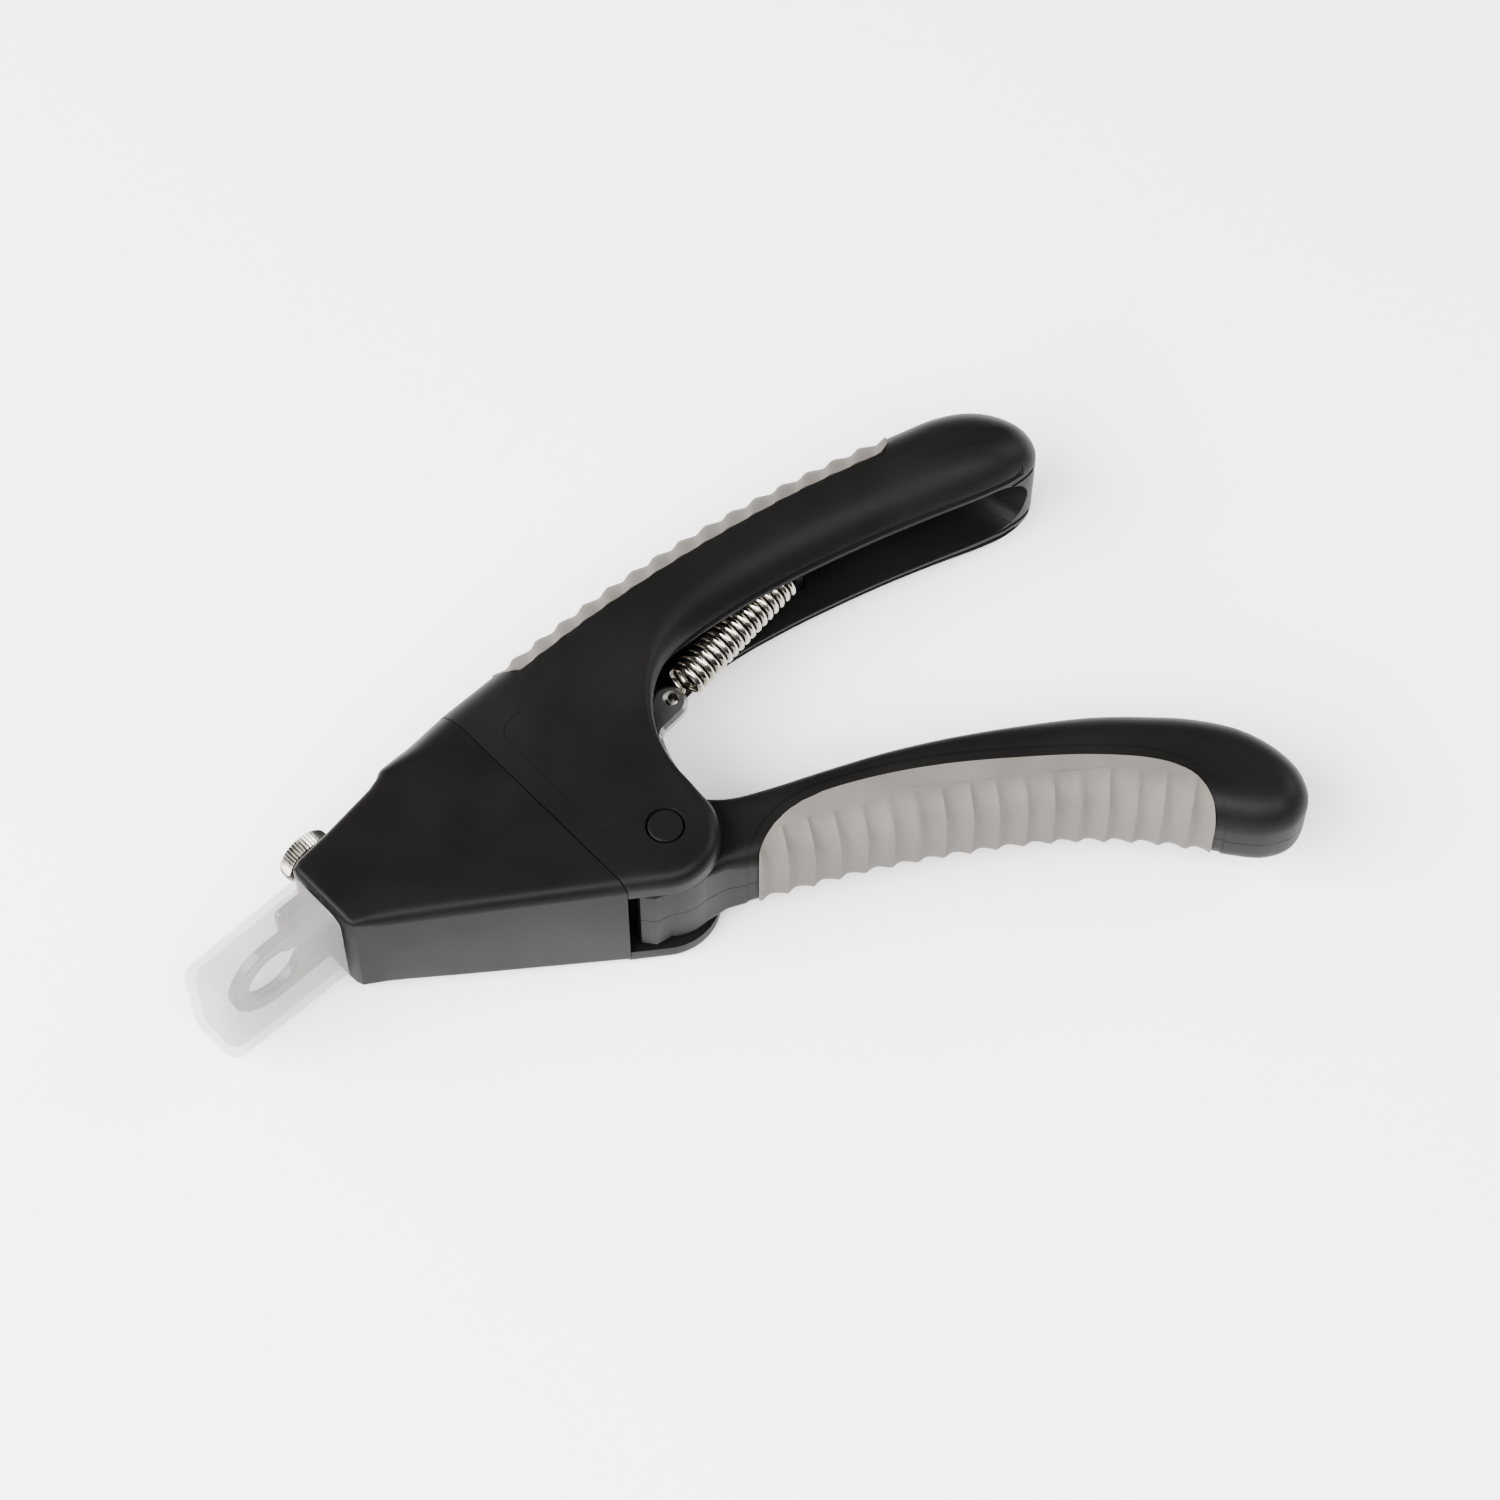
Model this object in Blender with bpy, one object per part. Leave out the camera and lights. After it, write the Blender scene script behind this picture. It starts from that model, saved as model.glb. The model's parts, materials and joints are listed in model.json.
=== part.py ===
"""A guillotine nail trimmer, lying flat: a fixed handle, a hinged handle and a sliding blade.

Every size is in millimetres and is scaled to metres when a mesh is made. The pivot's axis is the
world Z axis, the resting face is z = 0, the cutting tip points to -X and the blade slides along -X.
Plan outlines are lists of (x, y, edge radius). A slab is an outline given a thickness about the
middle plane, with both of its edges rounded by the radius at each point.
"""

import math

import bpy
import bmesh
from mathutils import Vector

# Driving dimensions
MM = 0.001
THICKNESS = 29.5
MID = THICKNESS / 2
HALF = THICKNESS / 2
GAP = 0.3
WALL = 2.4
EAR_PLATE = 5.0
EAR_RADIUS = 10.1
EAR_X, EAR_Y = -1.0, 0.1
SEAM_X = -12.3
NOSE_X = -49.9
NOSE_TAPER = 0.08            # fall of the top face for each millimetre of nose
NEAR_WALL_SLOPE = -0.735     # dy/dx of the slanted wall of the nose
NEAR_WALL_Y = -4.4           # that wall's y at x = -12.1
SLOT_HALF = 7.15             # half height of the channel along the fixed handle
HEAD_SLOT_HALF = HALF - EAR_PLATE + 0.25
HANDLE_HALF = 9.2            # half thickness of the moving handle
HUB_RADIUS = 9.4
PIVOT_RADIUS = 3.0
GRIP_DEPTH = 1.6
PLATE_Y = (30.0, 32.0)       # the ring plate lies between these
BLADE_Y = (32.4, 33.6)
GUARD_Y = (34.7, 35.9)
RING_X, RING_RADIUS, NAIL_HOLE_RADIUS = -61.5, 8.75, 5.5
STROKE = 13.6
EDGE_X = -55.3
KNOB_X, KNOB_RADIUS, SHANK_RADIUS = -43.3, 5.0, 1.9
PIN_REACH = 32.0             # distance of the blade's drive pin from the pivot, across the stroke
FORK_ANGLE = 78.0
TAIL_X, TAIL_Y = 22.3, 23.0
ANCHOR_X, ANCHOR_Y = 57.6, 28.6
LEVER_HALF = 1.25
COIL_TURNS, COIL_RADIUS, WIRE_RADIUS = 17, 3.1, 0.6
HOLE_RADIUS, SHANK_FIT = 1.3, 1.0   # a small screw's or pin's hole, and its shank
LEVER_PINS = ((-3.6, -4.2), (4.2, -4.6))
HANDLE_SCREWS = ((15.2, -6.0), (63.5, -31.0), (81.0, -57.0))
BLADE_SCREWS_X = (-12.5, -6.0)
PLATE_SCREW_X, PLATE_SCREW_Z = -37.3, 5.2    # the ring plate's screws; z is from the middle plane
COVER_SCREW_X, COVER_SCREW_Z = -16.5, 5.0
CAP_TIP_X = -75.3
CAP_Y, CAP_Z = (25.3, 37.5), (4.1, 25.4)
FAR = 60.0                   # well past the part, for cutters

MATERIALS = {
    "body_plastic": ((0.012, 0.012, 0.012), 0.5, 0.0),
    "cover_plastic": ((0.010, 0.010, 0.010), 0.42, 0.0),
    "grip_rubber": ((0.205, 0.185, 0.165), 0.75, 0.0),
    "plate_steel": ((0.42, 0.43, 0.46), 0.35, 1.0),
    "bright_nickel": ((0.72, 0.70, 0.66), 0.18, 1.0),
    "nut_brass": ((0.70, 0.50, 0.22), 0.3, 1.0),
    "cap_clear": ((0.80, 0.78, 0.75), 0.45, 0.0),
}


# Outlines and curves

def curve_through(points, steps):
    """A smooth open curve through the points (centripetal Catmull-Rom), with steps per span."""
    points = [Vector(p) for p in points]
    points = [2 * points[0] - points[1]] + points + [2 * points[-1] - points[-2]]
    result = []
    for a, b, c, d in zip(points, points[1:], points[2:], points[3:]):
        t1 = math.sqrt((b - a).length)
        t2 = t1 + math.sqrt((c - b).length)
        t3 = t2 + math.sqrt((d - c).length)
        for k in range(steps):
            t = t1 + (t2 - t1) * k / steps
            ab = a.lerp(b, t / t1)
            bc = b.lerp(c, (t - t1) / (t2 - t1))
            cd = c.lerp(d, (t - t2) / (t3 - t2))
            low = ab.lerp(bc, t / t2)
            high = bc.lerp(cd, (t - t1) / (t3 - t1))
            result.append(low.lerp(high, (t - t1) / (t2 - t1)))
    return result + [points[-2]]


def arc(x, y, radius, start, end, count, edge=0.0):
    """Points from angle start to angle end, in degrees, as (x, y, edge)."""
    angles = [math.radians(start + (end - start) * k / count) for k in range(count + 1)]
    return [Vector((x + radius * math.cos(a), y + radius * math.sin(a), edge)) for a in angles]


def polar(radius, degrees):
    return Vector((radius * math.cos(math.radians(degrees)), radius * math.sin(math.radians(degrees))))


def near_wall_y(x):
    return NEAR_WALL_Y + NEAR_WALL_SLOPE * (x + 12.1)


def mitres(outline):
    """The inward direction at each corner of a counter-clockwise outline, long enough to shift its sides by 1."""
    result = []
    for i, here in enumerate(outline):
        before = (here - outline[i - 1]).to_2d().normalized()
        after = (outline[(i + 1) % len(outline)] - here).to_2d().normalized()
        normals = Vector((-before.y, before.x)) + Vector((-after.y, after.x))
        result.append(normals / max(0.4, 1 + before.dot(after)))
    return result


# Meshes

def object_from(name, mesh_data, material=None):
    bmesh.ops.recalc_face_normals(mesh_data, faces=mesh_data.faces)
    mesh = bpy.data.meshes.new(name)
    mesh_data.to_mesh(mesh)
    mesh_data.free()
    made = bpy.data.objects.new(name, mesh)
    bpy.context.scene.collection.objects.link(made)
    if material:
        mesh.materials.append(material_named(material))
    return made


def material_named(name):
    if name in bpy.data.materials:
        return bpy.data.materials[name]
    colour, roughness, metallic = MATERIALS[name]
    material = bpy.data.materials.new(name)
    material.use_nodes = True
    shader = material.node_tree.nodes["Principled BSDF"]
    shader.inputs["Base Color"].default_value = (*colour, 1)
    shader.inputs["Roughness"].default_value = roughness
    shader.inputs["Metallic"].default_value = metallic
    return material


def loft(name, rings, material=None, closed=False):
    """A solid through rings of points. It is capped at both ends, or joined end to end if closed."""
    data = bmesh.new()
    loops = [[data.verts.new(Vector(p) * MM) for p in ring] for ring in rings]
    pairs = list(zip(loops, loops[1:])) + ([(loops[-1], loops[0])] if closed else [])
    for low, high in pairs:
        for k in range(len(low)):
            after = (k + 1) % len(low)
            data.faces.new((low[k], low[after], high[after], high[k]))
    if not closed:
        data.faces.new(loops[0])
        data.faces.new(loops[-1])
    return object_from(name, data, material)


def slab(name, outline, half, material=None, inset=0.0, steps=3):
    """The outline given a thickness: half(x) each side of the middle plane, with rounded edges."""
    normals = mitres(outline)
    rings = []
    for side in (-1, 1):
        turns = [math.pi / 2 * k / steps for k in range(steps + 1)]
        for turn in (reversed(turns) if side < 0 else turns):
            ring = []
            for point, normal in zip(outline, normals):
                radius = max(point.z - inset, 0.15)
                shifted = point.to_2d() + normal * (inset + radius * (1 - math.cos(turn)))
                height = half(shifted.x) - inset - radius * (1 - math.sin(turn))
                ring.append((shifted.x, shifted.y, MID + side * height))
            rings.append(ring)
    return loft(name, rings, material)


def prism(name, corners, low, high, material=None, axis=2):
    """A straight-sided solid on corners, from low to high along the axis. Corners are in the other two axes."""
    rings = []
    for level in (low, high):
        ring = []
        for corner in corners:
            point = [corner[0], corner[1]]
            point.insert(axis, level)
            ring.append(point)
        rings.append(ring)
    return loft(name, rings, material)


def box(name, x, y, z, material=None):
    return prism(name, [(x[0], y[0]), (x[1], y[0]), (x[1], y[1]), (x[0], y[1])], z[0], z[1], material)


def channel(name, stations):
    """A cutter through stations of (near x, near y, far x, far y, half height)."""
    rings = []
    for near_x, near_y, far_x, far_y, half in stations:
        rings.append([
            (near_x, near_y, MID - half),
            (far_x, far_y, MID - half),
            (far_x, far_y, MID + half),
            (near_x, near_y, MID + half),
        ])
    return loft(name, rings)


def turned(name, x, y, profile, material=None, axis=2, sides=20):
    """A solid of revolution. The profile holds (radius, height) along the axis; x and y are its centre."""
    rings = []
    for radius, height in profile:
        ring = []
        for k in range(sides):
            offset = polar(radius, 360 * k / sides)
            point = [x + offset.x, y + offset.y]
            point.insert(axis, height)
            ring.append(point)
        rings.append(ring)
    return loft(name, rings, material)


def sweep(name, path, radius, material, sides=5):
    """A round wire along a path of points."""
    rings = []
    side = Vector((1, 0, 0))
    for i, here in enumerate(path):
        along = (path[min(i + 1, len(path) - 1)] - path[max(i - 1, 0)]).normalized()
        side = (side - along * side.dot(along)).normalized()
        other = along.cross(side)
        ring = []
        for k in range(sides):
            turn = 2 * math.pi * k / sides
            ring.append(here + radius * (math.cos(turn) * side + math.sin(turn) * other))
        rings.append(ring)
    return loft(name, rings, material)


def combine(target, tool, operation="DIFFERENCE"):
    """Cuts the tool from the target, or joins or intersects them, and removes the tool."""
    modifier = target.modifiers.new(operation.lower(), "BOOLEAN")
    modifier.operation = operation
    modifier.object = tool
    graph = bpy.context.evaluated_depsgraph_get()
    mesh = bpy.data.meshes.new_from_object(target.evaluated_get(graph))
    target.modifiers.clear()
    target.data = mesh
    bpy.data.objects.remove(tool)
    return target


def bore(target, x, y, radius, low, high, axis=2, sides=20):
    return combine(target, turned("bore", x, y, [(radius, low), (radius, high)], axis=axis, sides=sides))


# Plan outlines

def body_outline():
    """The fixed body, counter-clockwise from the near wall. It runs past the seam, where it is cut."""
    ahead = SEAM_X - 14
    near = [Vector((ahead, near_wall_y(ahead), 2.3))]
    ear = arc(EAR_X, EAR_Y, EAR_RADIUS, -126.3, 0, 12, 2.6)
    inner = [
        (9.1, 3.6, 1.6), (9.4, 8.4, 1.2), (10.6, 12.6, 1.2), (13.0, 17.0, 1.4), (16.8, 21.4, 1.8),
        (21.0, 24.3, 2.6), (25.5, 25.7, 4.2), (31.0, 26.1, 6.0), (40.0, 25.2, 7.4), (50.0, 23.4, 7.6),
        (60.0, 21.0, 7.6), (70.0, 18.2, 7.6), (80.0, 15.0, 7.4), (88.0, 12.4, 6.6), (94.0, 10.9, 5.8),
        (98.6, 11.0, 5.6), (101.8, 13.6, 5.6), (103.2, 17.6, 6.0), (102.2, 22.2, 6.6), (98.6, 26.4, 7.2),
        (92.6, 29.4, 7.6), (84.0, 32.2, 8.0), (76.0, 34.6, 8.0), (66.0, 37.2, 8.0), (54.0, 39.8, 8.0),
        (40.0, 42.0, 8.0), (26.0, 43.4, 8.0), (12.0, 43.9, 8.0), (-2.0, 43.95, 8.0), (ahead, 43.9, 8.0),
    ]
    return near + ear + curve_through(inner, 2)


def cover_outline():
    """The nose cover, counter-clockwise from its far corner at the seam."""
    behind = SEAM_X + 14
    far = [Vector((behind, 43.9, 8.0))] + curve_through([
        (-11.0, 43.9, 8.0), (-14.0, 43.85, 8.0), (-20.0, 43.3, 7.0), (-24.5, 42.6, 4.5),
        (-27.2, 41.9, 2.6), (-28.8, 40.8, 1.6), (-31.0, 40.3, 1.9),
    ], 3)
    nose = [
        (-41.0, 39.3, 1.9), (-48.4, 38.65, 1.5), (NOSE_X, 37.1, 1.4),
        (NOSE_X, 25.4, 1.4), (-49.3, near_wall_y(-49.3), 1.0), (-46.0, near_wall_y(-46.0), 2.0),
        (-35.0, near_wall_y(-35.0), 2.3), (behind, near_wall_y(behind), 2.3),
    ]
    return far + [Vector(point) for point in nose]


def moving_handle_outline():
    """The hub and the moving handle, counter-clockwise from the hub's stop corner."""
    stop = [Vector((-8.8, -1.4, 1.0)), Vector((-10.2, -4.6, 1.0)), Vector((-8.6, -6.6, 1.0))]
    hub = arc(0, 0, HUB_RADIUS, 232, 274, 5, 1.4)
    outer = [
        (4.5, -10.3, 2.4), (9.2, -13.2, 4.0), (16.0, -16.9, 5.0), (24.0, -21.1, 5.2), (33.0, -26.4, 5.4),
        (42.0, -32.2, 5.6), (50.0, -37.9, 5.8), (58.0, -44.6, 6.0), (64.5, -51.4, 6.2), (69.4, -57.6, 6.3),
        (73.2, -63.0, 6.2), (77.0, -67.1, 5.9), (81.6, -69.0, 5.7), (86.2, -67.6, 5.7), (89.0, -63.6, 5.9),
        (89.8, -57.8, 6.3), (88.2, -50.4, 6.6), (83.6, -43.0, 6.6), (77.5, -36.6, 6.4), (70.5, -30.4, 6.1),
        (60.5, -23.4, 5.8), (50.5, -17.2, 5.4), (40.5, -11.8, 5.2), (30.5, -7.3, 5.0), (20.5, -3.2, 4.6),
        (14.5, -0.6, 3.6), (11.0, 1.8, 2.4), (8.6, 4.9, 1.6),
    ]
    back = arc(0, 0, HUB_RADIUS, 45, 176, 10, 1.2)
    return stop + hub + curve_through(outer, 2) + back


def moving_grip_region():
    """The plan area that the moving grip covers: inside its edge line, out past the handle."""
    edge = curve_through([
        (8.6, -13.6), (10.6, -11.9), (14.4, -10.4), (19.4, -9.9), (24.4, -10.9), (34.4, -15.4),
        (44.4, -21.6), (54.4, -29.3), (64.3, -37.8), (71.0, -45.2), (73.4, -49.7), (73.9, -53.5),
        (73.0, -57.2), (71.6, -59.4),
    ], 2)
    return [(p.x, p.y) for p in edge] + [(66.0, -66.0), (30.0, -45.0), (4.0, -20.0)]


def fixed_grip_region():
    """The plan area that the fixed handle's grip covers: a strip along its back."""
    edge = curve_through([
        (2.6, 39.3), (17.2, 38.9), (32.0, 37.7), (47.0, 35.6), (62.0, 32.8), (71.7, 30.3), (78.0, 28.6),
    ], 3)
    return [(p.x, p.y) for p in edge] + [(80.6, 29.6), (88.0, 40.0), (40.0, 52.0), (-1.6, 52.0), (0.3, 42.2)]


def grown(region, distance):
    """The same counter-clockwise or clockwise region, with every side moved out."""
    corners = [Vector((x, y, 0)) for x, y in region]
    area = sum(a.x * b.y - b.x * a.y for a, b in zip(corners, corners[1:] + corners[:1]))
    sign = -1 if area > 0 else 1
    return [(p.x + sign * m.x * distance, p.y + sign * m.y * distance) for p, m in zip(corners, mitres(corners))]


def even(_x):
    return HALF


def body_half(x):
    """The body is even, and thins towards the end of its handle."""
    return HALF - 0.0215 * max(0.0, x - 88.0) ** 2


def cover_half(x):
    return HALF - NOSE_TAPER * max(0.0, SEAM_X - x)


def handle_half(_x):
    return HANDLE_HALF


# Fixed pieces

def grip_shell(name, region, outline, half):
    """The part of a handle's skin inside the region, as a C that wraps the handle's edge."""
    grip = slab(name, outline, half, "grip_rubber", steps=3)
    combine(grip, prism("region", region, -FAR, FAR), "INTERSECT")
    return combine(grip, slab("core", outline, half, inset=GRIP_DEPTH, steps=3))


def cut_grip_recess(target, region, outline, half):
    """Cuts the seat of a grip: the same skin, a gap wider and deeper."""
    seat = prism("seat", grown(region, GAP), -FAR, FAR)
    combine(seat, slab("core", outline, half, inset=GRIP_DEPTH + GAP, steps=3))
    return combine(target, seat)


def make_fixed_body():
    body = slab("fixed_body", body_outline(), body_half, "body_plastic")
    combine(body, box("ahead", (-40, SEAM_X + GAP / 2), (-FAR, FAR), (-FAR, FAR)))
    head, slot = HEAD_SLOT_HALF, SLOT_HALF
    combine(body, channel("channel", [
        (-16, -16, -16, 41.0, head), (13, -16, 8, 41.0, head), (22, 8, 19, 40.8, head - 0.6),
        (31, 17, 29, 40.2, slot + 0.6), (42, 17, 40, 38.6, slot), (60, 13.5, 57, 35.9, slot),
        (80, 6.5, 77, 30.8, slot), (90, 5, 86, 27.6, slot), (93.5, 4.5, 89.5, 25.0, slot - 0.4),
        (96.0, 5, 92.5, 22.0, slot - 1.7), (97.4, 6, 94.6, 19.0, slot - 3.7), (98.2, 7.5, 96.2, 16.0, slot - 6.3),
    ]))
    combine(body, box("tongue", (-20, -8), (37.0, 39.9), (MID - 8, MID + 8)), "UNION")
    combine(body, box("tongue_root", (SEAM_X + 0.4, -8), (37.0, 42.5), (MID - 8, MID + 8)), "UNION")
    cut_grip_recess(body, fixed_grip_region(), body_outline(), even)
    bore(body, 0, 0, PIVOT_RADIUS + GAP, -2, THICKNESS + 2)
    bore(body, ANCHOR_X, ANCHOR_Y, 1.55, 5.4, THICKNESS - 5.4, sides=12)
    for side in (-1, 1):
        bore(body, COVER_SCREW_X, MID + side * COVER_SCREW_Z, 1.4, 37.6, 41.0, axis=1, sides=12)
    return body


def make_nose_cover():
    cover = slab("nose_cover", cover_outline(), cover_half, "cover_plastic")
    combine(cover, box("behind", (SEAM_X - GAP / 2, 10), (-FAR, FAR), (-FAR, FAR)))
    rise = WALL / math.cos(math.atan(NEAR_WALL_SLOPE))
    inside = [
        (-8, near_wall_y(-8) + rise), (-8, 41.2), (-13, 41.0), (-24, 40.0), (-30, 37.9), (-41, 36.9),
        (-47.4, 36.3), (-47.4, near_wall_y(-47.4) + rise),
    ]
    rings = []
    for side in (-1, 1):
        rings.append([(x, y, MID + side * (cover_half(x) - WALL)) for x, y in inside])
    combine(cover, loft("inside", rings))
    combine(cover, box("plate_seat", (-48.4, -34), (22.8, 29.7), (MID - 8.2, MID + 8.2)), "UNION")
    combine(cover, box("nose_mouth", (-55, -46.9), (29.8, 36.6), (MID - 9.1, MID + 9.1)))
    bore(cover, KNOB_X, MID, SHANK_RADIUS + 0.4, 35, 45, axis=1)
    bore(cover, KNOB_X, MID, 3.6, 25.0, 31, axis=1)
    for side in (-1, 1):
        bore(cover, PLATE_SCREW_X, MID + side * PLATE_SCREW_Z, HOLE_RADIUS, 25.0, 31, axis=1, sides=12)
        bore(cover, COVER_SCREW_X, MID + side * COVER_SCREW_Z, 1.4, 38, FAR, axis=1, sides=12)
        bore(cover, COVER_SCREW_X, MID + side * COVER_SCREW_Z, 2.6, 42.5, FAR, axis=1, sides=16)
    return cover


def make_pivot():
    turned("pivot_pin", 0, 0, [(2.4, 2.6), (2.85, 3.1), (2.85, 26.4), (2.4, 26.9)], "plate_steel")
    for name, low, high in (("pivot_plug_bottom", 0.0, 2.3), ("pivot_plug_top", 27.2, THICKNESS)):
        turned(name, 0, 0, [(PIVOT_RADIUS, low), (PIVOT_RADIUS, high)], "body_plastic", sides=24)


def make_spring_anchor():
    profile = [(1.0, 5.8), (1.25, 6.1), (1.25, THICKNESS - 6.1), (1.0, THICKNESS - 5.8)]
    turned("spring_anchor_pin", ANCHOR_X, ANCHOR_Y, profile, "plate_steel", sides=12)


def ring_plate_outline(radius, x_end):
    """The round-ended plate that stands on edge, as (x, z)."""
    ring = arc(RING_X, MID, radius, 90, 270, 16)
    return [(p.x, p.y) for p in ring] + [(x_end, MID - radius), (x_end, MID + radius)]


def make_ring_plate():
    plate = prism("ring_plate", ring_plate_outline(RING_RADIUS, -34.6), *PLATE_Y, "plate_steel", axis=1)
    bore(plate, RING_X, MID, NAIL_HOLE_RADIUS, 25, 35, axis=1, sides=28)
    bore(plate, KNOB_X, MID, SHANK_RADIUS + 0.4, 25, 35, axis=1)
    for side in (-1, 1):
        x, z = PLATE_SCREW_X, MID + side * PLATE_SCREW_Z
        bore(plate, x, z, HOLE_RADIUS, 25, 35, axis=1, sides=12)
        bore(plate, x, z, 2.2, 31.0, 35, axis=1, sides=16)
        profile = [(SHANK_FIT, 25.6), (SHANK_FIT, 31.2), (1.9, 31.2), (1.9, 31.9)]
        turned(f"ring_plate_screw_{1 if side < 0 else 2}", x, z, profile, "plate_steel", axis=1, sides=12)


def make_blade_guard():
    corners = [
        (-56.2, MID - 6.0), (-55.4, MID - 6.8), (-37.0, MID - 6.8),
        (-37.0, MID + 6.8), (-55.4, MID + 6.8), (-56.2, MID + 6.0),
    ]
    guard = prism("blade_guard", corners, *GUARD_Y, "plate_steel", axis=1)
    bore(guard, KNOB_X, MID, SHANK_RADIUS + 0.4, 30, 40, axis=1)


def make_cover_screws():
    for number, side in ((1, -1), (2, 1)):
        z = MID + side * COVER_SCREW_Z
        profile = [(1.1, 38.0), (1.1, 42.8), (2.2, 42.8), (2.2, 43.4)]
        turned(f"cover_screw_{number}", COVER_SCREW_X, z, profile, "plate_steel", axis=1, sides=12)


def make_thumbscrew():
    profile = [
        (SHANK_RADIUS, 26.2), (SHANK_RADIUS, 39.7), (3.1, 39.8), (3.1, 41.6), (KNOB_RADIUS - 0.5, 41.9),
        (KNOB_RADIUS, 42.3), (KNOB_RADIUS, 44.5), (KNOB_RADIUS - 0.5, 44.9),
    ]
    return turned("thumbscrew", KNOB_X, MID, profile, "bright_nickel", axis=1, sides=28)


def make_thumbscrew_nut():
    nut = turned("thumbscrew_nut", KNOB_X, MID, [(3.3, 25.4), (3.3, 29.6)], "nut_brass", axis=1, sides=6)
    bore(nut, KNOB_X, MID, SHANK_RADIUS + 0.2, 20, 35, axis=1, sides=16)


# The cap

def cap_ring(x, y, z, radius):
    """A rounded rectangle across X: y and z are its (low, high)."""
    ring = []
    for cy, cz, start in (
        (y[1] - radius, z[1] - radius, 0), (y[0] + radius, z[1] - radius, 90),
        (y[0] + radius, z[0] + radius, 180), (y[1] - radius, z[0] + radius, 270),
    ):
        ring += [(x, p.x, p.y) for p in arc(cy, cz, radius, start, start + 90, 3)]
    return ring


def cap_solid(name, thickness, material=None):
    """The cap's outer shape, or with a thickness the space inside it, longer than the cap."""
    rings = []
    tip, root = CAP_TIP_X + thickness, NOSE_X - GAP + (5 if thickness else 0)
    for x, inset in ((root, 0.0), (tip + 2.2, 0.25), (tip + 0.65, 0.9), (tip, 2.4)):
        move = inset + thickness
        y = (CAP_Y[0] + move, CAP_Y[1] - move)
        z = (CAP_Z[0] + move, CAP_Z[1] - move)
        rings.append(cap_ring(x, y, z, 2.6 - 0.6 * bool(thickness)))
    return loft(name, rings, material)


def make_safety_cap():
    cap = cap_solid("safety_cap", 0.0, "cap_clear")
    return combine(cap, cap_solid("cap_inside", 1.2))


# The moving handle

def lever_outline(gap=0.0):
    """The drive lever: a fork for the blade's pin, a tail for the spring and a root in the hub."""
    def fork(reach, across):
        along = polar(1, FORK_ANGLE)
        return (along.x * reach + along.y * across, along.y * reach - along.x * across)
    tail = [(p.x, p.y) for p in arc(TAIL_X - 0.6, TAIL_Y - 0.2, 3.2 + gap, -90, 130, 8)]
    root = [(-4.5 - gap, 3.0), (-6.0 - gap, -3.4), (-2.5, -6.4 - gap), (4.8, -6.4 - gap), (8.0 + gap, -1.6)]
    shoulder = [(13.0 + gap, 8.0), (14.6 + gap, 15.0), (16.4, 19.2 - gap)]
    slot = [fork(36.2, 4.2), fork(36.2, 1.8), fork(29.6, 1.8), fork(29.6, -1.8), fork(36.2, -1.8), fork(36.2, -4.2)]
    return root + shoulder + tail + [(13.0, 21.8), fork(24.0, 4.2)] + slot


def make_drive_lever():
    lever = prism("drive_lever", lever_outline(), MID - LEVER_HALF, MID + LEVER_HALF, "plate_steel")
    bore(lever, 0, 0, PIVOT_RADIUS + GAP, 0, THICKNESS)
    bore(lever, TAIL_X, TAIL_Y, 1.2, 0, THICKNESS, sides=12)
    for x, y in LEVER_PINS:
        bore(lever, x, y, HOLE_RADIUS, 0, THICKNESS, sides=12)
    return lever


def make_handle_shell(name, side):
    """One moulded half of the moving handle: side is 1 above the parting plane and -1 below it."""
    shell = slab(name, moving_handle_outline(), handle_half, "body_plastic")
    cut_grip_recess(shell, moving_grip_region(), moving_handle_outline(), handle_half)
    away = (MID - GAP / 2, FAR) if side < 0 else (-FAR, MID + GAP / 2)
    combine(shell, box("other_half", (-30, 110), (-90, 30), away))
    pocket = LEVER_HALF + GAP
    combine(shell, prism("lever_pocket", lever_outline(GAP), MID - pocket, MID + pocket))
    combine(shell, channel("hollow", [
        (24.0, -9.2, 22.0, -14.0, 5.6), (40.0, -15.6, 36.0, -22.5, 5.6), (55.0, -24.6, 48.0, -31.0, 5.6),
    ]))
    bore(shell, 0, 0, PIVOT_RADIUS + GAP, 0, THICKNESS)
    for x, y in LEVER_PINS:
        bore(shell, x, y, HOLE_RADIUS, MID - 6.5, MID + 6.5, sides=12)
    for x, y in HANDLE_SCREWS:
        bore(shell, x, y, 1.4, -5, MID + 5.5, sides=12)
        bore(shell, x, y, 2.6, -5, MID - HANDLE_HALF + 2.2, sides=16)
    return shell


def make_moving_handle():
    shells = [make_handle_shell("handle_shell_top", 1), make_handle_shell("handle_shell_bottom", -1)]
    grip = grip_shell("moving_grip", moving_grip_region(), moving_handle_outline(), handle_half)
    pins = []
    for number, (x, y) in enumerate(LEVER_PINS, 1):
        profile = [(SHANK_FIT, MID - 6.2), (SHANK_FIT, MID + 6.2)]
        pins.append(turned(f"lever_pin_{number}", x, y, profile, "plate_steel", sides=12))
    low = MID - HANDLE_HALF
    screws = []
    for number, (x, y) in enumerate(HANDLE_SCREWS, 1):
        profile = [(2.2, low + 0.7), (2.2, low + 1.9), (1.1, low + 1.9), (1.1, MID + 5.0)]
        screws.append(turned(f"handle_screw_{number}", x, y, profile, "plate_steel", sides=12))
    return shells + [grip, make_drive_lever()] + pins + screws


# The blade and its carriage

def pin_x():
    """Where the fork's middle line crosses the path of the drive pin."""
    return PIN_REACH / math.tan(math.radians(FORK_ANGLE))


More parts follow.
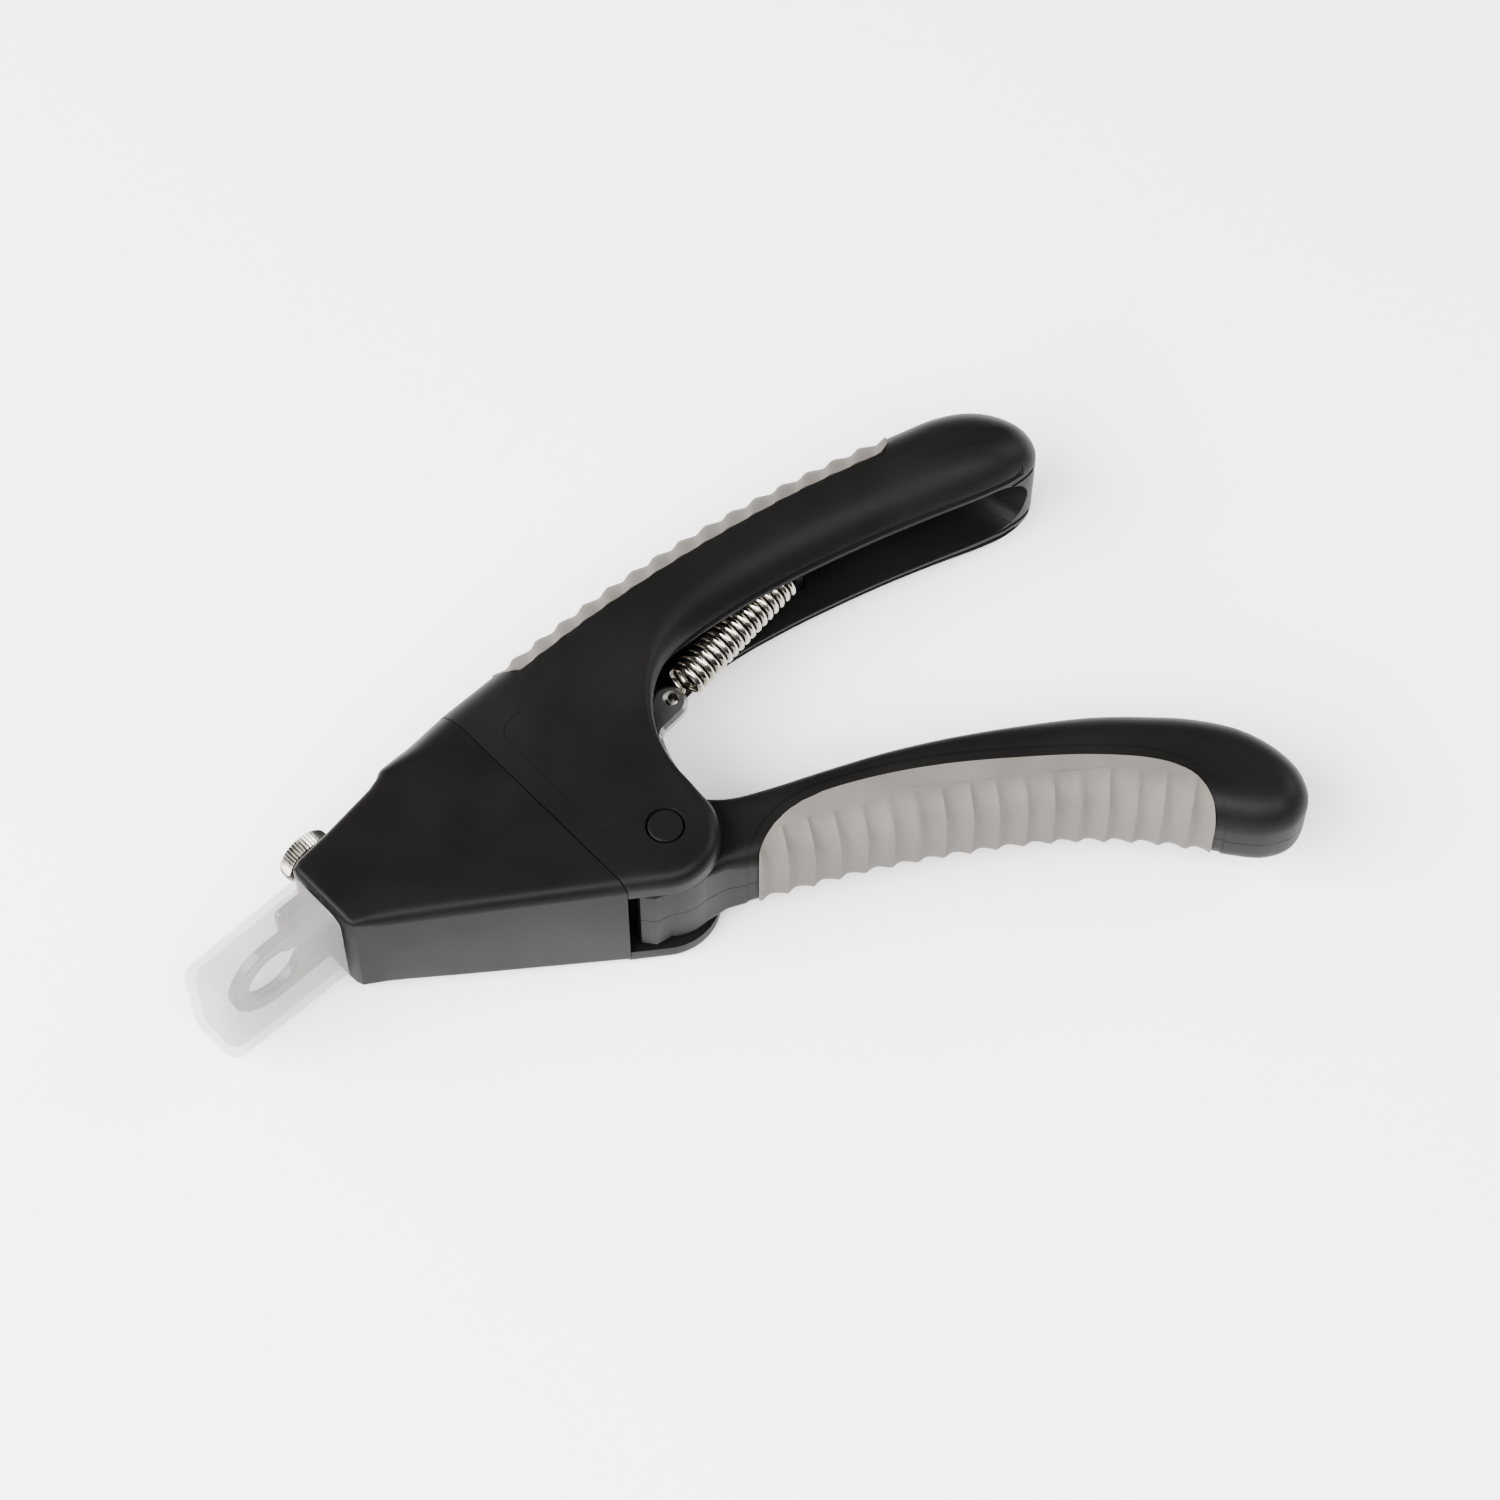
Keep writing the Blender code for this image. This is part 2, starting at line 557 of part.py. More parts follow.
def make_blade_carriage():
    x = pin_x()
    carriage = box("blade_carriage", (-16, x + 5), (26.5, 32.1), (MID - 6, MID + 6), "cover_plastic")
    combine(carriage, box("cheeks", (1.0, x + 5), (30, 36.0), (MID - 6, MID + 6)), "UNION")
    combine(carriage, box("fork_room", (-0.5, x + 8), (20, 40), (MID - LEVER_HALF - 0.35, MID + LEVER_HALF + 0.35)))
    bore(carriage, x, PIN_REACH, 1.8, 0, THICKNESS, sides=12)
    for screw_x in BLADE_SCREWS_X:
        bore(carriage, screw_x, MID, HOLE_RADIUS, 28, 40, axis=1, sides=12)
    pin = turned("drive_pin", x, PIN_REACH, [(1.5, MID - 5.8), (1.5, MID + 5.8)], "plate_steel", sides=14)
    return [carriage, pin]


def make_cutting_blade():
    """A flat blade on edge: its front is ground to a thin edge and it has a long hole for the thumbscrew."""
    low, high = BLADE_Y
    section = [(-2.8, low), (-2.8, high), (EDGE_X + 2.6, high), (EDGE_X, low + 0.15), (EDGE_X, low)]
    blade = prism("cutting_blade", section, MID - 7, MID + 7, "plate_steel")
    half = SHANK_RADIUS + 0.45
    ahead = arc(KNOB_X, MID, half, 90, 270, 6)
    behind = arc(KNOB_X + STROKE, MID, half, -90, 90, 6)
    combine(blade, prism("long_hole", [(p.x, p.y) for p in ahead + behind], 25, 40, axis=1))
    screws = []
    for number, x in enumerate(BLADE_SCREWS_X, 1):
        bore(blade, x, MID, HOLE_RADIUS, 25, 40, axis=1, sides=12)
        profile = [(SHANK_FIT, 28.6), (SHANK_FIT, 33.9), (2.1, 33.9), (1.7, 34.9)]
        screws.append(turned(f"blade_screw_{number}", x, MID, profile, "plate_steel", axis=1, sides=12))
    return [blade] + screws


# The return spring

def make_return_spring():
    """An extension spring: a hook through the lever's tail, close turns, and a hook round the anchor pin."""
    start, end = Vector((26.4, 24.6, MID)), Vector((53.2, 28.0, MID))
    along = (end - start).normalized()
    across = Vector((-along.y, along.x, 0))
    path = [Vector((TAIL_X, TAIL_Y, MID + z)) for z in (1.9, 0.0, -2.2)]
    path += [Vector((TAIL_X + 0.8, TAIL_Y + 0.5, MID - 3.0)), Vector((TAIL_X + 2.2, TAIL_Y + 1.0, MID - COIL_RADIUS))]
    per_turn = 9
    for k in range(COIL_TURNS * per_turn + 1):
        turn = 2 * math.pi * k / per_turn
        centre = start.lerp(end, k / (COIL_TURNS * per_turn))
        path.append(centre + COIL_RADIUS * (math.sin(turn) * across - math.cos(turn) * Vector((0, 0, 1))))
    path.append(Vector((ANCHOR_X - 2.4, ANCHOR_Y + 1.0, MID - 2.2)))
    for degrees in (110, 60, 10, -40, -90, -140):
        ring = polar(1.25 + GAP + WIRE_RADIUS, degrees)
        path.append(Vector((ANCHOR_X + ring.x, ANCHOR_Y + ring.y, MID)))
    return sweep("return_spring", path, WIRE_RADIUS, "bright_nickel")


# Placing

def joint_frame(name, x, y, z):
    """An empty on a joint's axis, which the moving pieces of that joint hang from."""
    frame = bpy.data.objects.new(name, None)
    frame.location = Vector((x, y, z)) * MM
    frame.empty_display_size = 0.01
    bpy.context.scene.collection.objects.link(frame)
    return frame


def hang(pieces, frame):
    """Moves each piece's origin to its joint's frame without moving the piece, and parents it there."""
    for piece in pieces:
        for vertex in piece.data.vertices:
            vertex.co -= frame.location
        piece.parent = frame


def clear_scene():
    for old in list(bpy.data.objects):
        bpy.data.objects.remove(old)


def main():
    clear_scene()
    make_fixed_body()
    make_nose_cover()
    grip_shell("fixed_grip", fixed_grip_region(), body_outline(), even)
    make_pivot()
    make_spring_anchor()
    make_ring_plate()
    make_blade_guard()
    make_cover_screws()
    make_thumbscrew_nut()
    make_return_spring()
    hang(make_moving_handle(), joint_frame("handle_axis", 0, 0, MID))
    hang(make_blade_carriage() + make_cutting_blade(), joint_frame("blade_axis", EDGE_X, BLADE_Y[0], MID))
    hang([make_thumbscrew()], joint_frame("thumbscrew_axis", KNOB_X, 40, MID))
    hang([make_safety_cap()], joint_frame("cap_axis", NOSE_X, 31.4, MID))
    for made in bpy.data.objects:
        if made.type == "MESH":
            made.data.shade_smooth()
            made.data.set_sharp_from_angle(angle=math.radians(35))


main()
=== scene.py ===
"""Looks of the guillotine nail trimmer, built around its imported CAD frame.

Sizes are in millimetres and are scaled to metres when a mesh is made. The pivot's axis is the world
Z axis, the trimmer rests on z = 0 and its cutting tip points to -X. Plan outlines are lists of
(x, y, edge radius). Places that the frame holds are read from it.
"""

import json
import math

import bmesh
import bpy
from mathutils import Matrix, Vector


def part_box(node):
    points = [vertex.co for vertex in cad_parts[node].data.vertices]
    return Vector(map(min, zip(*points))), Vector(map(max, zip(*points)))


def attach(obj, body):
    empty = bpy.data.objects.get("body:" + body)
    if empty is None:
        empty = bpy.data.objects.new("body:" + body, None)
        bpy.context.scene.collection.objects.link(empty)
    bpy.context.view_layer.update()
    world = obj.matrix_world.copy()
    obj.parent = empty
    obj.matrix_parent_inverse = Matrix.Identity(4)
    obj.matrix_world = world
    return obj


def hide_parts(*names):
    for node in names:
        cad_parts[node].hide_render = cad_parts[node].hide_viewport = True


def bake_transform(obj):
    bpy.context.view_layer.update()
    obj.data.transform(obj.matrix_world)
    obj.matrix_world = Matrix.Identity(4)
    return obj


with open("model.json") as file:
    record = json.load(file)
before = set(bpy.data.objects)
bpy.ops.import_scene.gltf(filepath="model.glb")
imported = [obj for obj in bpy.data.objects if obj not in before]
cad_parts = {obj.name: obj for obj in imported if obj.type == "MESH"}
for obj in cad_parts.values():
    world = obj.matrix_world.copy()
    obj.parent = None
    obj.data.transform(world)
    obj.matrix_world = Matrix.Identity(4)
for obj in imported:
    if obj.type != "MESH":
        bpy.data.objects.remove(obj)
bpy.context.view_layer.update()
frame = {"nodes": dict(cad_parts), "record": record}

MM = 0.001


def place(node):
    """The lowest and highest corner of a CAD node, in millimetres."""
    low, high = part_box(node)
    return low / MM, high / MM


def centre(node):
    low, high = place(node)
    return (low + high) / 2


# Sizes read from the frame
BODY_LOW, BODY_HIGH = place("fixed_body")
THICKNESS = BODY_HIGH.z - BODY_LOW.z
MID = HALF = THICKNESS / 2
SEAM_X = place("nose_cover")[1].x
NOSE_X = place("nose_cover")[0].x
HANDLE_HALF = (place("handle_shell_top")[1].z - place("handle_shell_bottom")[0].z) / 2
PLATE_LOW, PLATE_HIGH = place("ring_plate")
GUARD_LOW, GUARD_HIGH = place("blade_guard")
BLADE_LOW, BLADE_HIGH = place("cutting_blade")
CAP_LOW, CAP_HIGH = place("safety_cap")
KNOB_LOW, KNOB_HIGH = place("thumbscrew")
KNOB_X, KNOB_RADIUS = centre("thumbscrew").x, (KNOB_HIGH.x - KNOB_LOW.x) / 2
RING_RADIUS = (PLATE_HIGH.z - PLATE_LOW.z) / 2
RING_X = PLATE_LOW.x + RING_RADIUS
ANCHOR = centre("spring_anchor_pin")

# Sizes that the frame's boxes don't give
SEAM_GAP = 0.15
EAR_RADIUS, EAR_X, EAR_Y = 10.1, -1.0, 0.1
NOSE_TAPER = 0.08            # fall of the top face for each millimetre of nose
NEAR_WALL_SLOPE = -0.735     # dy/dx of the slanted wall of the nose
NEAR_WALL_X, NEAR_WALL_Y = -12.1, -4.4
END_START, END_FALL = 88.0, 0.0215    # where the fixed handle starts to thin, and how fast
SLOT_HALF = 7.15             # half height of the channel along the fixed handle
HUB_RADIUS = 9.4
PIVOT_RADIUS, PIVOT_GAP = 3.0, 0.3
GRIP_DEPTH, GRIP_GAP = 1.6, 0.1
NAIL_HOLE_RADIUS = 5.5
LEVER_HALF, FORK_ANGLE = 1.25, 78.0
TAIL_X, TAIL_Y = 22.3, 23.0
COIL_TURNS, COIL_RADIUS, WIRE_RADIUS = 17, 3.1, 0.6
SHANK_RADIUS = 1.9
HANDLE_SCREWS = ((15.2, -6.0), (63.5, -31.0), (81.0, -57.0))
FAR = 70.0

SPAN_STEPS = 7               # mesh steps in each span of an outline
RIB_STEPS = 18               # the same where there are ribs
EDGE_STEPS = 8               # mesh steps round an edge
SHARP_ANGLE = math.radians(32)    # edges that turn more than this stay sharp
FLAT_MARGIN = 0.25           # a narrow level border inside each rounded edge, so that flats shade flat


# Outlines and curves

def curve_through(points, steps):
    """A smooth open curve through the points (centripetal Catmull-Rom), with steps per span."""
    points = [Vector(p) for p in points]
    points = [2 * points[0] - points[1]] + points + [2 * points[-1] - points[-2]]
    result = []
    for a, b, c, d in zip(points, points[1:], points[2:], points[3:]):
        t1 = math.sqrt((b - a).length)
        t2 = t1 + math.sqrt((c - b).length)
        t3 = t2 + math.sqrt((d - c).length)
        for k in range(steps):
            t = t1 + (t2 - t1) * k / steps
            ab = a.lerp(b, t / t1)
            bc = b.lerp(c, (t - t1) / (t2 - t1))
            cd = c.lerp(d, (t - t2) / (t3 - t2))
            low = ab.lerp(bc, t / t2)
            high = bc.lerp(cd, (t - t1) / (t3 - t1))
            result.append(low.lerp(high, (t - t1) / (t2 - t1)))
    return result + [points[-2]]


def polar(radius, degrees):
    return Vector((radius * math.cos(math.radians(degrees)), radius * math.sin(math.radians(degrees))))


def arc(x, y, radius, start, end, count, edge=0.0):
    """Points from angle start to angle end, in degrees, as (x, y, edge)."""
    result = []
    for k in range(count + 1):
        offset = polar(radius, start + (end - start) * k / count)
        result.append(Vector((x + offset.x, y + offset.y, edge)))
    return result


def flat(points):
    return [(p.x, p.y) for p in points]


def near_wall_y(x):
    return NEAR_WALL_Y + NEAR_WALL_SLOPE * (x - NEAR_WALL_X)


def mitres(outline):
    """The inward shift at each corner of a counter-clockwise outline that moves its sides in by 1."""
    result = []
    for i, here in enumerate(outline):
        before = (here - outline[i - 1]).to_2d().normalized()
        after = (outline[(i + 1) % len(outline)] - here).to_2d().normalized()
        normals = Vector((-before.y, before.x)) + Vector((-after.y, after.x))
        result.append(normals / max(0.4, 1 + before.dot(after)))
    return result


def grown(region, distance):
    """The same region, with every side moved out."""
    corners = [Vector((x, y, 0)) for x, y in region]
    area = sum(a.x * b.y - b.x * a.y for a, b in zip(corners, corners[1:] + corners[:1]))
    sign = -1 if area > 0 else 1
    moves = mitres(corners)
    return [(p.x + sign * m.x * distance, p.y + sign * m.y * distance) for p, m in zip(corners, moves)]


def rounded(corners, radius, count=5):
    """The outline with each corner rounded by a curve that starts a radius before it."""
    result = []
    for i, (x, y) in enumerate(corners):
        here = Vector((x, y))
        before = Vector(corners[i - 1]) - here
        after = Vector(corners[(i + 1) % len(corners)]) - here
        start = here + before.normalized() * min(radius, before.length * 0.45)
        end = here + after.normalized() * min(radius, after.length * 0.45)
        for k in range(count + 1):
            t = k / count
            point = start.lerp(here, t).lerp(here.lerp(end, t), t)
            result.append((point.x, point.y))
    return result


# Meshes

def object_from(name, mesh_data):
    bmesh.ops.recalc_face_normals(mesh_data, faces=mesh_data.faces)
    mesh = bpy.data.meshes.new(name)
    mesh_data.to_mesh(mesh)
    mesh_data.free()
    made = bpy.data.objects.new(name, mesh)
    bpy.context.scene.collection.objects.link(made)
    return made


def loft(name, rings):
    """A solid through rings of points, capped at both ends."""
    data = bmesh.new()
    loops = [[data.verts.new(Vector(p) * MM) for p in ring] for ring in rings]
    for low, high in zip(loops, loops[1:]):
        for k in range(len(low)):
            after = (k + 1) % len(low)
            data.faces.new((low[k], low[after], high[after], high[k]))
    data.faces.new(loops[0])
    data.faces.new(loops[-1])
    return object_from(name, data)


def slab(name, outline, half, inset=0.0, steps=EDGE_STEPS, relief=None):
    """The outline given a thickness, half(x) each side of the middle plane, with rounded edges.

    relief(travel, turn, radius) moves the surface outwards: travel is the distance along the outline
    and turn goes from 0 on the side wall to a right angle at the flat.
    """
    normals = mitres(outline)
    travel = [0.0]
    for a, b in zip(outline, outline[1:]):
        travel.append(travel[-1] + (b - a).to_2d().length)
    quarter = math.pi / 2
    levels = [(quarter * k / steps, 0.0) for k in range(steps + 1)] + [(quarter, FLAT_MARGIN)]
    rings = []
    for side in (-1, 1):
        for turn, margin in (reversed(levels) if side < 0 else levels):
            ring = []
            for point, normal, reach in zip(outline, normals, travel):
                radius = max(point.z - inset, 0.15)
                rise = relief(reach, turn, radius) if relief else 0.0
                shift = inset + radius * (1 - math.cos(turn)) + margin - rise * math.cos(turn)
                shifted = point.to_2d() + normal * shift
                height = half(shifted.x) - inset - radius * (1 - math.sin(turn)) + rise * math.sin(turn)
                ring.append((shifted.x, shifted.y, MID + side * height))
            rings.append(ring)
    return loft(name, rings)


def prism(name, corners, low, high, axis=2, bevel=0.0):
    """A straight-sided solid from low to high along the axis, with corners in the other two axes."""
    levels = [(low, 0), (high, 0)]
    if bevel:
        levels = [(low, bevel), (low + bevel, 0.0), (high - bevel, 0.0), (high, bevel)]
    rings = []
    for level, inset in levels:
        ring = []
        for corner in (grown(corners, -inset) if inset else corners):
            point = [corner[0], corner[1]]
            point.insert(axis, level)
            ring.append(point)
        rings.append(ring)
    return loft(name, rings)


def box(name, x, y, z):
    return prism(name, [(x[0], y[0]), (x[1], y[0]), (x[1], y[1]), (x[0], y[1])], z[0], z[1])


def channel(name, stations):
    """A cutter through stations of (near x, near y, far x, far y, half height)."""
    rings = []
    for near_x, near_y, far_x, far_y, half in curve_through(stations, 3):
        rings.append([
            (near_x, near_y, MID - half),
            (far_x, far_y, MID - half),
            (far_x, far_y, MID + half),
            (near_x, near_y, MID + half),
        ])
    return loft(name, rings)


def turned(name, x, y, profile, axis=2, sides=40):
    """A solid of revolution. The profile holds (radius, height) along the axis; x and y are its centre."""
    rings = []
    for radius, height in profile:
        ring = []
        for k in range(sides):
            offset = polar(radius, 360 * k / sides)
            point = [x + offset.x, y + offset.y]
            point.insert(axis, height)
            ring.append(point)
        rings.append(ring)
    return loft(name, rings)


def sweep(name, path, radius, sides=14):
    """A round wire along a path of points."""
    rings = []
    side = Vector((1, 0, 0))
    for i, here in enumerate(path):
        along = (path[min(i + 1, len(path) - 1)] - path[max(i - 1, 0)]).normalized()
        side = (side - along * side.dot(along)).normalized()
        other = along.cross(side)
        ring = []
        for k in range(sides):
            turn = 2 * math.pi * k / sides
            ring.append(here + radius * (math.cos(turn) * side + math.sin(turn) * other))
        rings.append(ring)
    return loft(name, rings)


def combine(target, tool, operation="DIFFERENCE"):
    """Cuts the tool from the target, or joins or intersects them, and removes the tool."""
    modifier = target.modifiers.new(operation.lower(), "BOOLEAN")
    modifier.operation = operation
    modifier.object = tool
    graph = bpy.context.evaluated_depsgraph_get()
    mesh = bpy.data.meshes.new_from_object(target.evaluated_get(graph))
    target.modifiers.clear()
    target.data = mesh
    bpy.data.objects.remove(tool)
    return target


def bore(target, x, y, profile, axis=2, sides=40):
    return combine(target, turned("bore", x, y, profile, axis, sides))


# Plan outlines, as in the CAD part

def body_outline(steps=SPAN_STEPS):
    """The fixed body, counter-clockwise from the near wall. It runs past the seam, where it is cut."""
    ahead = SEAM_X - 14
    near = [Vector((ahead, near_wall_y(ahead), 2.3))]
    ear = arc(EAR_X, EAR_Y, EAR_RADIUS, -126.3, 0, 36, 2.6)
    inner = [
        (9.1, 3.6, 1.6), (9.4, 8.4, 1.2), (10.6, 12.6, 1.2), (13.0, 17.0, 1.4), (16.8, 21.4, 1.8),
        (21.0, 24.3, 2.6), (25.5, 25.7, 4.2), (31.0, 26.1, 6.0), (40.0, 25.2, 7.4), (50.0, 23.4, 7.6),
        (60.0, 21.0, 7.6), (70.0, 18.2, 7.6), (80.0, 15.0, 7.4), (88.0, 12.4, 6.6), (94.0, 10.9, 5.8),
        (98.6, 11.0, 5.0), (101.8, 13.6, 4.6), (103.2, 17.6, 5.0), (102.2, 22.2, 6.2), (98.6, 26.4, 7.2),
        (92.6, 29.4, 7.6), (84.0, 32.2, 8.0), (76.0, 34.6, 8.0), (66.0, 37.2, 8.0), (54.0, 39.8, 8.0),
        (40.0, 42.0, 8.0), (26.0, 43.4, 8.0), (12.0, 43.9, 8.0), (-2.0, 43.95, 8.0), (ahead, 43.9, 8.0),
    ]
    return near + ear + curve_through(inner, steps)


def cover_outline():
    """The nose cover, counter-clockwise from its far corner at the seam."""
    behind = SEAM_X + 14
    far = [Vector((behind, 43.9, 8.0))] + curve_through([
        (-11.0, 43.9, 8.0), (-14.0, 43.85, 8.0), (-20.0, 43.3, 7.0), (-24.5, 42.6, 4.5),
        (-27.2, 41.9, 2.6), (-28.8, 40.8, 1.6), (-31.0, 40.3, 1.9),
    ], 6)
    nose = [
        (-41.0, 39.3, 1.9), (-48.0, 38.7, 1.5), (NOSE_X + 0.35, 38.0, 1.3), (NOSE_X, 36.6, 1.3),
        (NOSE_X, 25.4, 1.3), (NOSE_X + 0.15, 24.1, 1.0), (NOSE_X + 0.6, near_wall_y(NOSE_X + 0.6), 1.0),
        (-47.6, near_wall_y(-47.6), 1.5), (-46.0, near_wall_y(-46.0), 2.0), (-43.0, near_wall_y(-43.0), 2.2),
        (-35.0, near_wall_y(-35.0), 2.3), (behind, near_wall_y(behind), 2.3),
    ]
    return far + [Vector(point) for point in nose]


def moving_handle_outline(steps=SPAN_STEPS):
    """The hub and the moving handle, counter-clockwise from the hub's stop corner."""
    stop = [Vector((-8.8, -1.4, 1.0)), Vector((-10.2, -4.6, 1.0)), Vector((-8.6, -6.6, 1.0))]
    hub = arc(0, 0, HUB_RADIUS, 232, 274, 12, 1.4)
    outer = [
        (4.5, -10.3, 2.4), (9.2, -13.2, 4.0), (16.0, -16.9, 5.0), (24.0, -21.1, 5.2), (33.0, -26.4, 5.4),
        (42.0, -32.2, 5.6), (50.0, -37.9, 5.8), (58.0, -44.6, 6.0), (64.5, -51.4, 6.2), (69.4, -57.6, 6.3),
        (73.2, -63.0, 6.2), (77.0, -67.1, 5.9), (81.6, -69.0, 5.7), (86.2, -67.6, 5.7), (89.0, -63.6, 5.9),
        (89.8, -57.8, 6.3), (88.2, -50.4, 6.6), (83.6, -43.0, 6.6), (77.5, -36.6, 6.4), (70.5, -30.4, 6.1),
        (60.5, -23.4, 5.8), (50.5, -17.2, 5.4), (40.5, -11.8, 5.2), (30.5, -7.3, 5.0), (20.5, -3.2, 4.6),
        (14.5, -0.6, 3.6), (11.0, 1.8, 2.4), (8.6, 4.9, 1.6),
    ]
    back = arc(0, 0, HUB_RADIUS, 45, 176, 30, 1.2)
    return stop + hub + curve_through(outer, steps) + back


def moving_grip_region():
    """The plan area that the moving grip covers: inside its edge line, out past the handle."""
    edge = curve_through([
        (8.6, -13.6), (10.6, -11.9), (14.4, -10.4), (19.4, -9.9), (24.4, -10.9), (34.4, -15.4),
        (44.4, -21.6), (54.4, -29.3), (64.3, -37.8), (71.0, -45.2), (73.4, -49.7), (73.9, -53.5),
        (73.0, -57.2), (71.6, -59.4),
    ], SPAN_STEPS)
    return flat(edge) + [(66.0, -66.0), (30.0, -45.0), (4.0, -20.0)]


def fixed_grip_region():
    """The plan area that the fixed handle's grip covers: a strip along its back."""
    edge = curve_through([
        (2.6, 39.3), (17.2, 38.9), (32.0, 37.7), (47.0, 35.6), (62.0, 32.8), (71.7, 30.3), (78.0, 28.6),
    ], SPAN_STEPS)
    return flat(edge) + [(80.6, 29.6), (88.0, 40.0), (40.0, 52.0), (-1.6, 52.0), (0.3, 42.2)]


def lever_outline(gap=0.0):
    """The drive lever: a fork for the blade's pin, a tail for the spring and a root in the hub."""
    def fork(reach, across):
        along = polar(1, FORK_ANGLE)
        return (along.x * reach + along.y * across, along.y * reach - along.x * across)
    root = [(-4.5 - gap, 3.0), (-6.0 - gap, -3.4), (-2.5, -6.4 - gap), (4.8, -6.4 - gap), (8.0 + gap, -1.6)]
    shoulder = [(13.0 + gap, 8.0), (14.6 + gap, 15.0), (16.4, 19.2 - gap)]
    tail = flat(arc(TAIL_X - 0.6, TAIL_Y - 0.2, 3.2 + gap, -90, 130, 22))
    end, depth, prong, slot = 36.2, 29.6, 4.2, 1.8
    ends = [(end, prong), (end, slot), (depth, slot), (depth, -slot), (end, -slot), (end, -prong)]
    return root + shoulder + tail + [(13.0, 21.8), fork(24.0, prong)] + [fork(*point) for point in ends]


def even(_x):
    return HALF


def body_half(x):
    """The body is even, and thins towards the end of its handle."""
    return HALF - END_FALL * max(0.0, x - END_START) ** 2


def cover_half(x):
    return HALF - NOSE_TAPER * max(0.0, SEAM_X - x)


def handle_half(_x):
    return HANDLE_HALF


# Grips

MOVING_RIB_PITCH, MOVING_RIB_HEIGHT = 4.6, 0.85
FIXED_RIB_PITCH, FIXED_RIB_HEIGHT, FIXED_RIB_SLANT = 5.3, 0.8, 0.55
RIB_CREST = 0.62             # where the crest stands within a pitch: the far flank is the steeper one


def rib_wave(phase):
    """From 0 in the valley to 1 on the crest, over one pitch."""
    phase %= 1.0
    return phase / RIB_CREST if phase < RIB_CREST else (1 - phase) / (1 - RIB_CREST)


def moving_ribs(travel, turn, _radius):
    """Ribs down the side wall that narrow to a point and fade out over the top rounding."""
    wall_share = math.cos(turn * 0.9)
    crest = rib_wave(travel / MOVING_RIB_PITCH) ** (1.3 + 3.5 * (1 - wall_share))
    return MOVING_RIB_HEIGHT * wall_share ** 0.6 * (crest - 0.55 * wall_share)


def fixed_ribs(travel, turn, radius):
    """Ribs that slant across the back's rounding, like the lines of a rope."""
    across = radius * turn * FIXED_RIB_SLANT
    return FIXED_RIB_HEIGHT * (rib_wave((travel - across) / FIXED_RIB_PITCH) ** 1.2 - 0.5)


def grip_shell(name, region, outline, half, relief):
    """The part of a handle's skin inside the region, as a C that wraps the handle's edge."""
    grip = slab(name, outline, half, relief=relief)
    combine(grip, prism("region", region, -FAR, FAR), "INTERSECT")
    return combine(grip, slab("core", outline, half, inset=GRIP_DEPTH))


def cut_grip_recess(target, region, outline, half, gap=GRIP_GAP, depth=GRIP_DEPTH + GRIP_GAP):
    seat = prism("seat", grown(region, gap), -FAR, FAR)
    combine(seat, slab("core", outline, half, inset=depth))
    return combine(target, seat)


# Fixed pieces

CHANNEL = [
    (-16, -16, -16, 41.0, 10.0), (13, -16, 8, 41.0, 10.0), (22, 8, 19, 40.8, 9.4),
    (31, 17, 29, 40.2, SLOT_HALF + 0.6), (42, 17, 40, 38.6, SLOT_HALF), (60, 13.5, 57, 35.9, SLOT_HALF),
    (80, 6.5, 77, 30.8, SLOT_HALF), (90, 5, 86, 27.6, SLOT_HALF), (93.5, 4.5, 89.5, 25.0, SLOT_HALF - 0.4),
    (96.0, 5, 92.5, 22.0, SLOT_HALF - 1.7), (97.4, 6, 94.6, 19.0, SLOT_HALF - 3.7),
    (98.2, 7.5, 96.2, 16.0, SLOT_HALF - 6.3),
]

# Bands cut in the skin along the channel, as (start, end, depth): start and end are above its edge.
RIM_CUTS = ((-1.0, 0.25, 0.2), (1.05, 2.9, 0.17), (1.4, 2.45, 0.36))


def rim_cut(side, start, end, depth):
    """A shallow band cut in the skin along the channel's rim."""
    near, far = 15.5 + 0.7 * start, 96.0 - 1.3 * start
    region = [
        (near, 14.0), (60.0, 8.0), (far, 2.0), (far + 1.5, 13.0),
        (60.0, 26.0), (30.0, 30.0), (near + 1.5, 23.5),
    ]
    low, high = sorted((MID + side * (SLOT_HALF + start), MID + side * (SLOT_HALF + end)))
    band = prism("rim", region, low, high)
    return combine(band, slab("core", body_outline(), body_half, inset=depth))


def make_fixed_body():
    body = slab("fixed_body_moulding", body_outline(), body_half)
    combine(body, box("ahead", (-FAR, SEAM_X + SEAM_GAP), (-FAR, FAR), (-FAR, FAR)))
    combine(body, channel("channel", CHANNEL))
    for side in (-1, 1):
        for start, end, depth in RIM_CUTS:
            combine(body, rim_cut(side, start, end, depth))
    combine(body, box("tongue", (-20, -8), (37.0, 39.9), (MID - 8, MID + 8)), "UNION")
    cut_grip_recess(body, fixed_grip_region(), body_outline(), even)
    top, chamfer = PIVOT_RADIUS + PIVOT_GAP, 0.25
    bore(body, 0, 0, [
        (top + chamfer, -0.1), (top, chamfer), (top, THICKNESS - chamfer), (top + chamfer, THICKNESS + 0.1),
    ])
    panel = rounded([(-8.6, 4.0), (-0.4, 4.0), (-0.4, 33.0), (-8.6, 33.0)], 4.0)
    rings = []
    for inset, z in ((0.0, THICKNESS + 0.1), (0.08, THICKNESS - 0.1)):
        rings.append([(x, y, z) for x, y in grown(panel, -inset)])
    combine(body, loft("panel", rings))
    bore(body, ANCHOR.x, ANCHOR.y, [(1.55, 5.4), (1.55, THICKNESS - 5.4)])
    return body


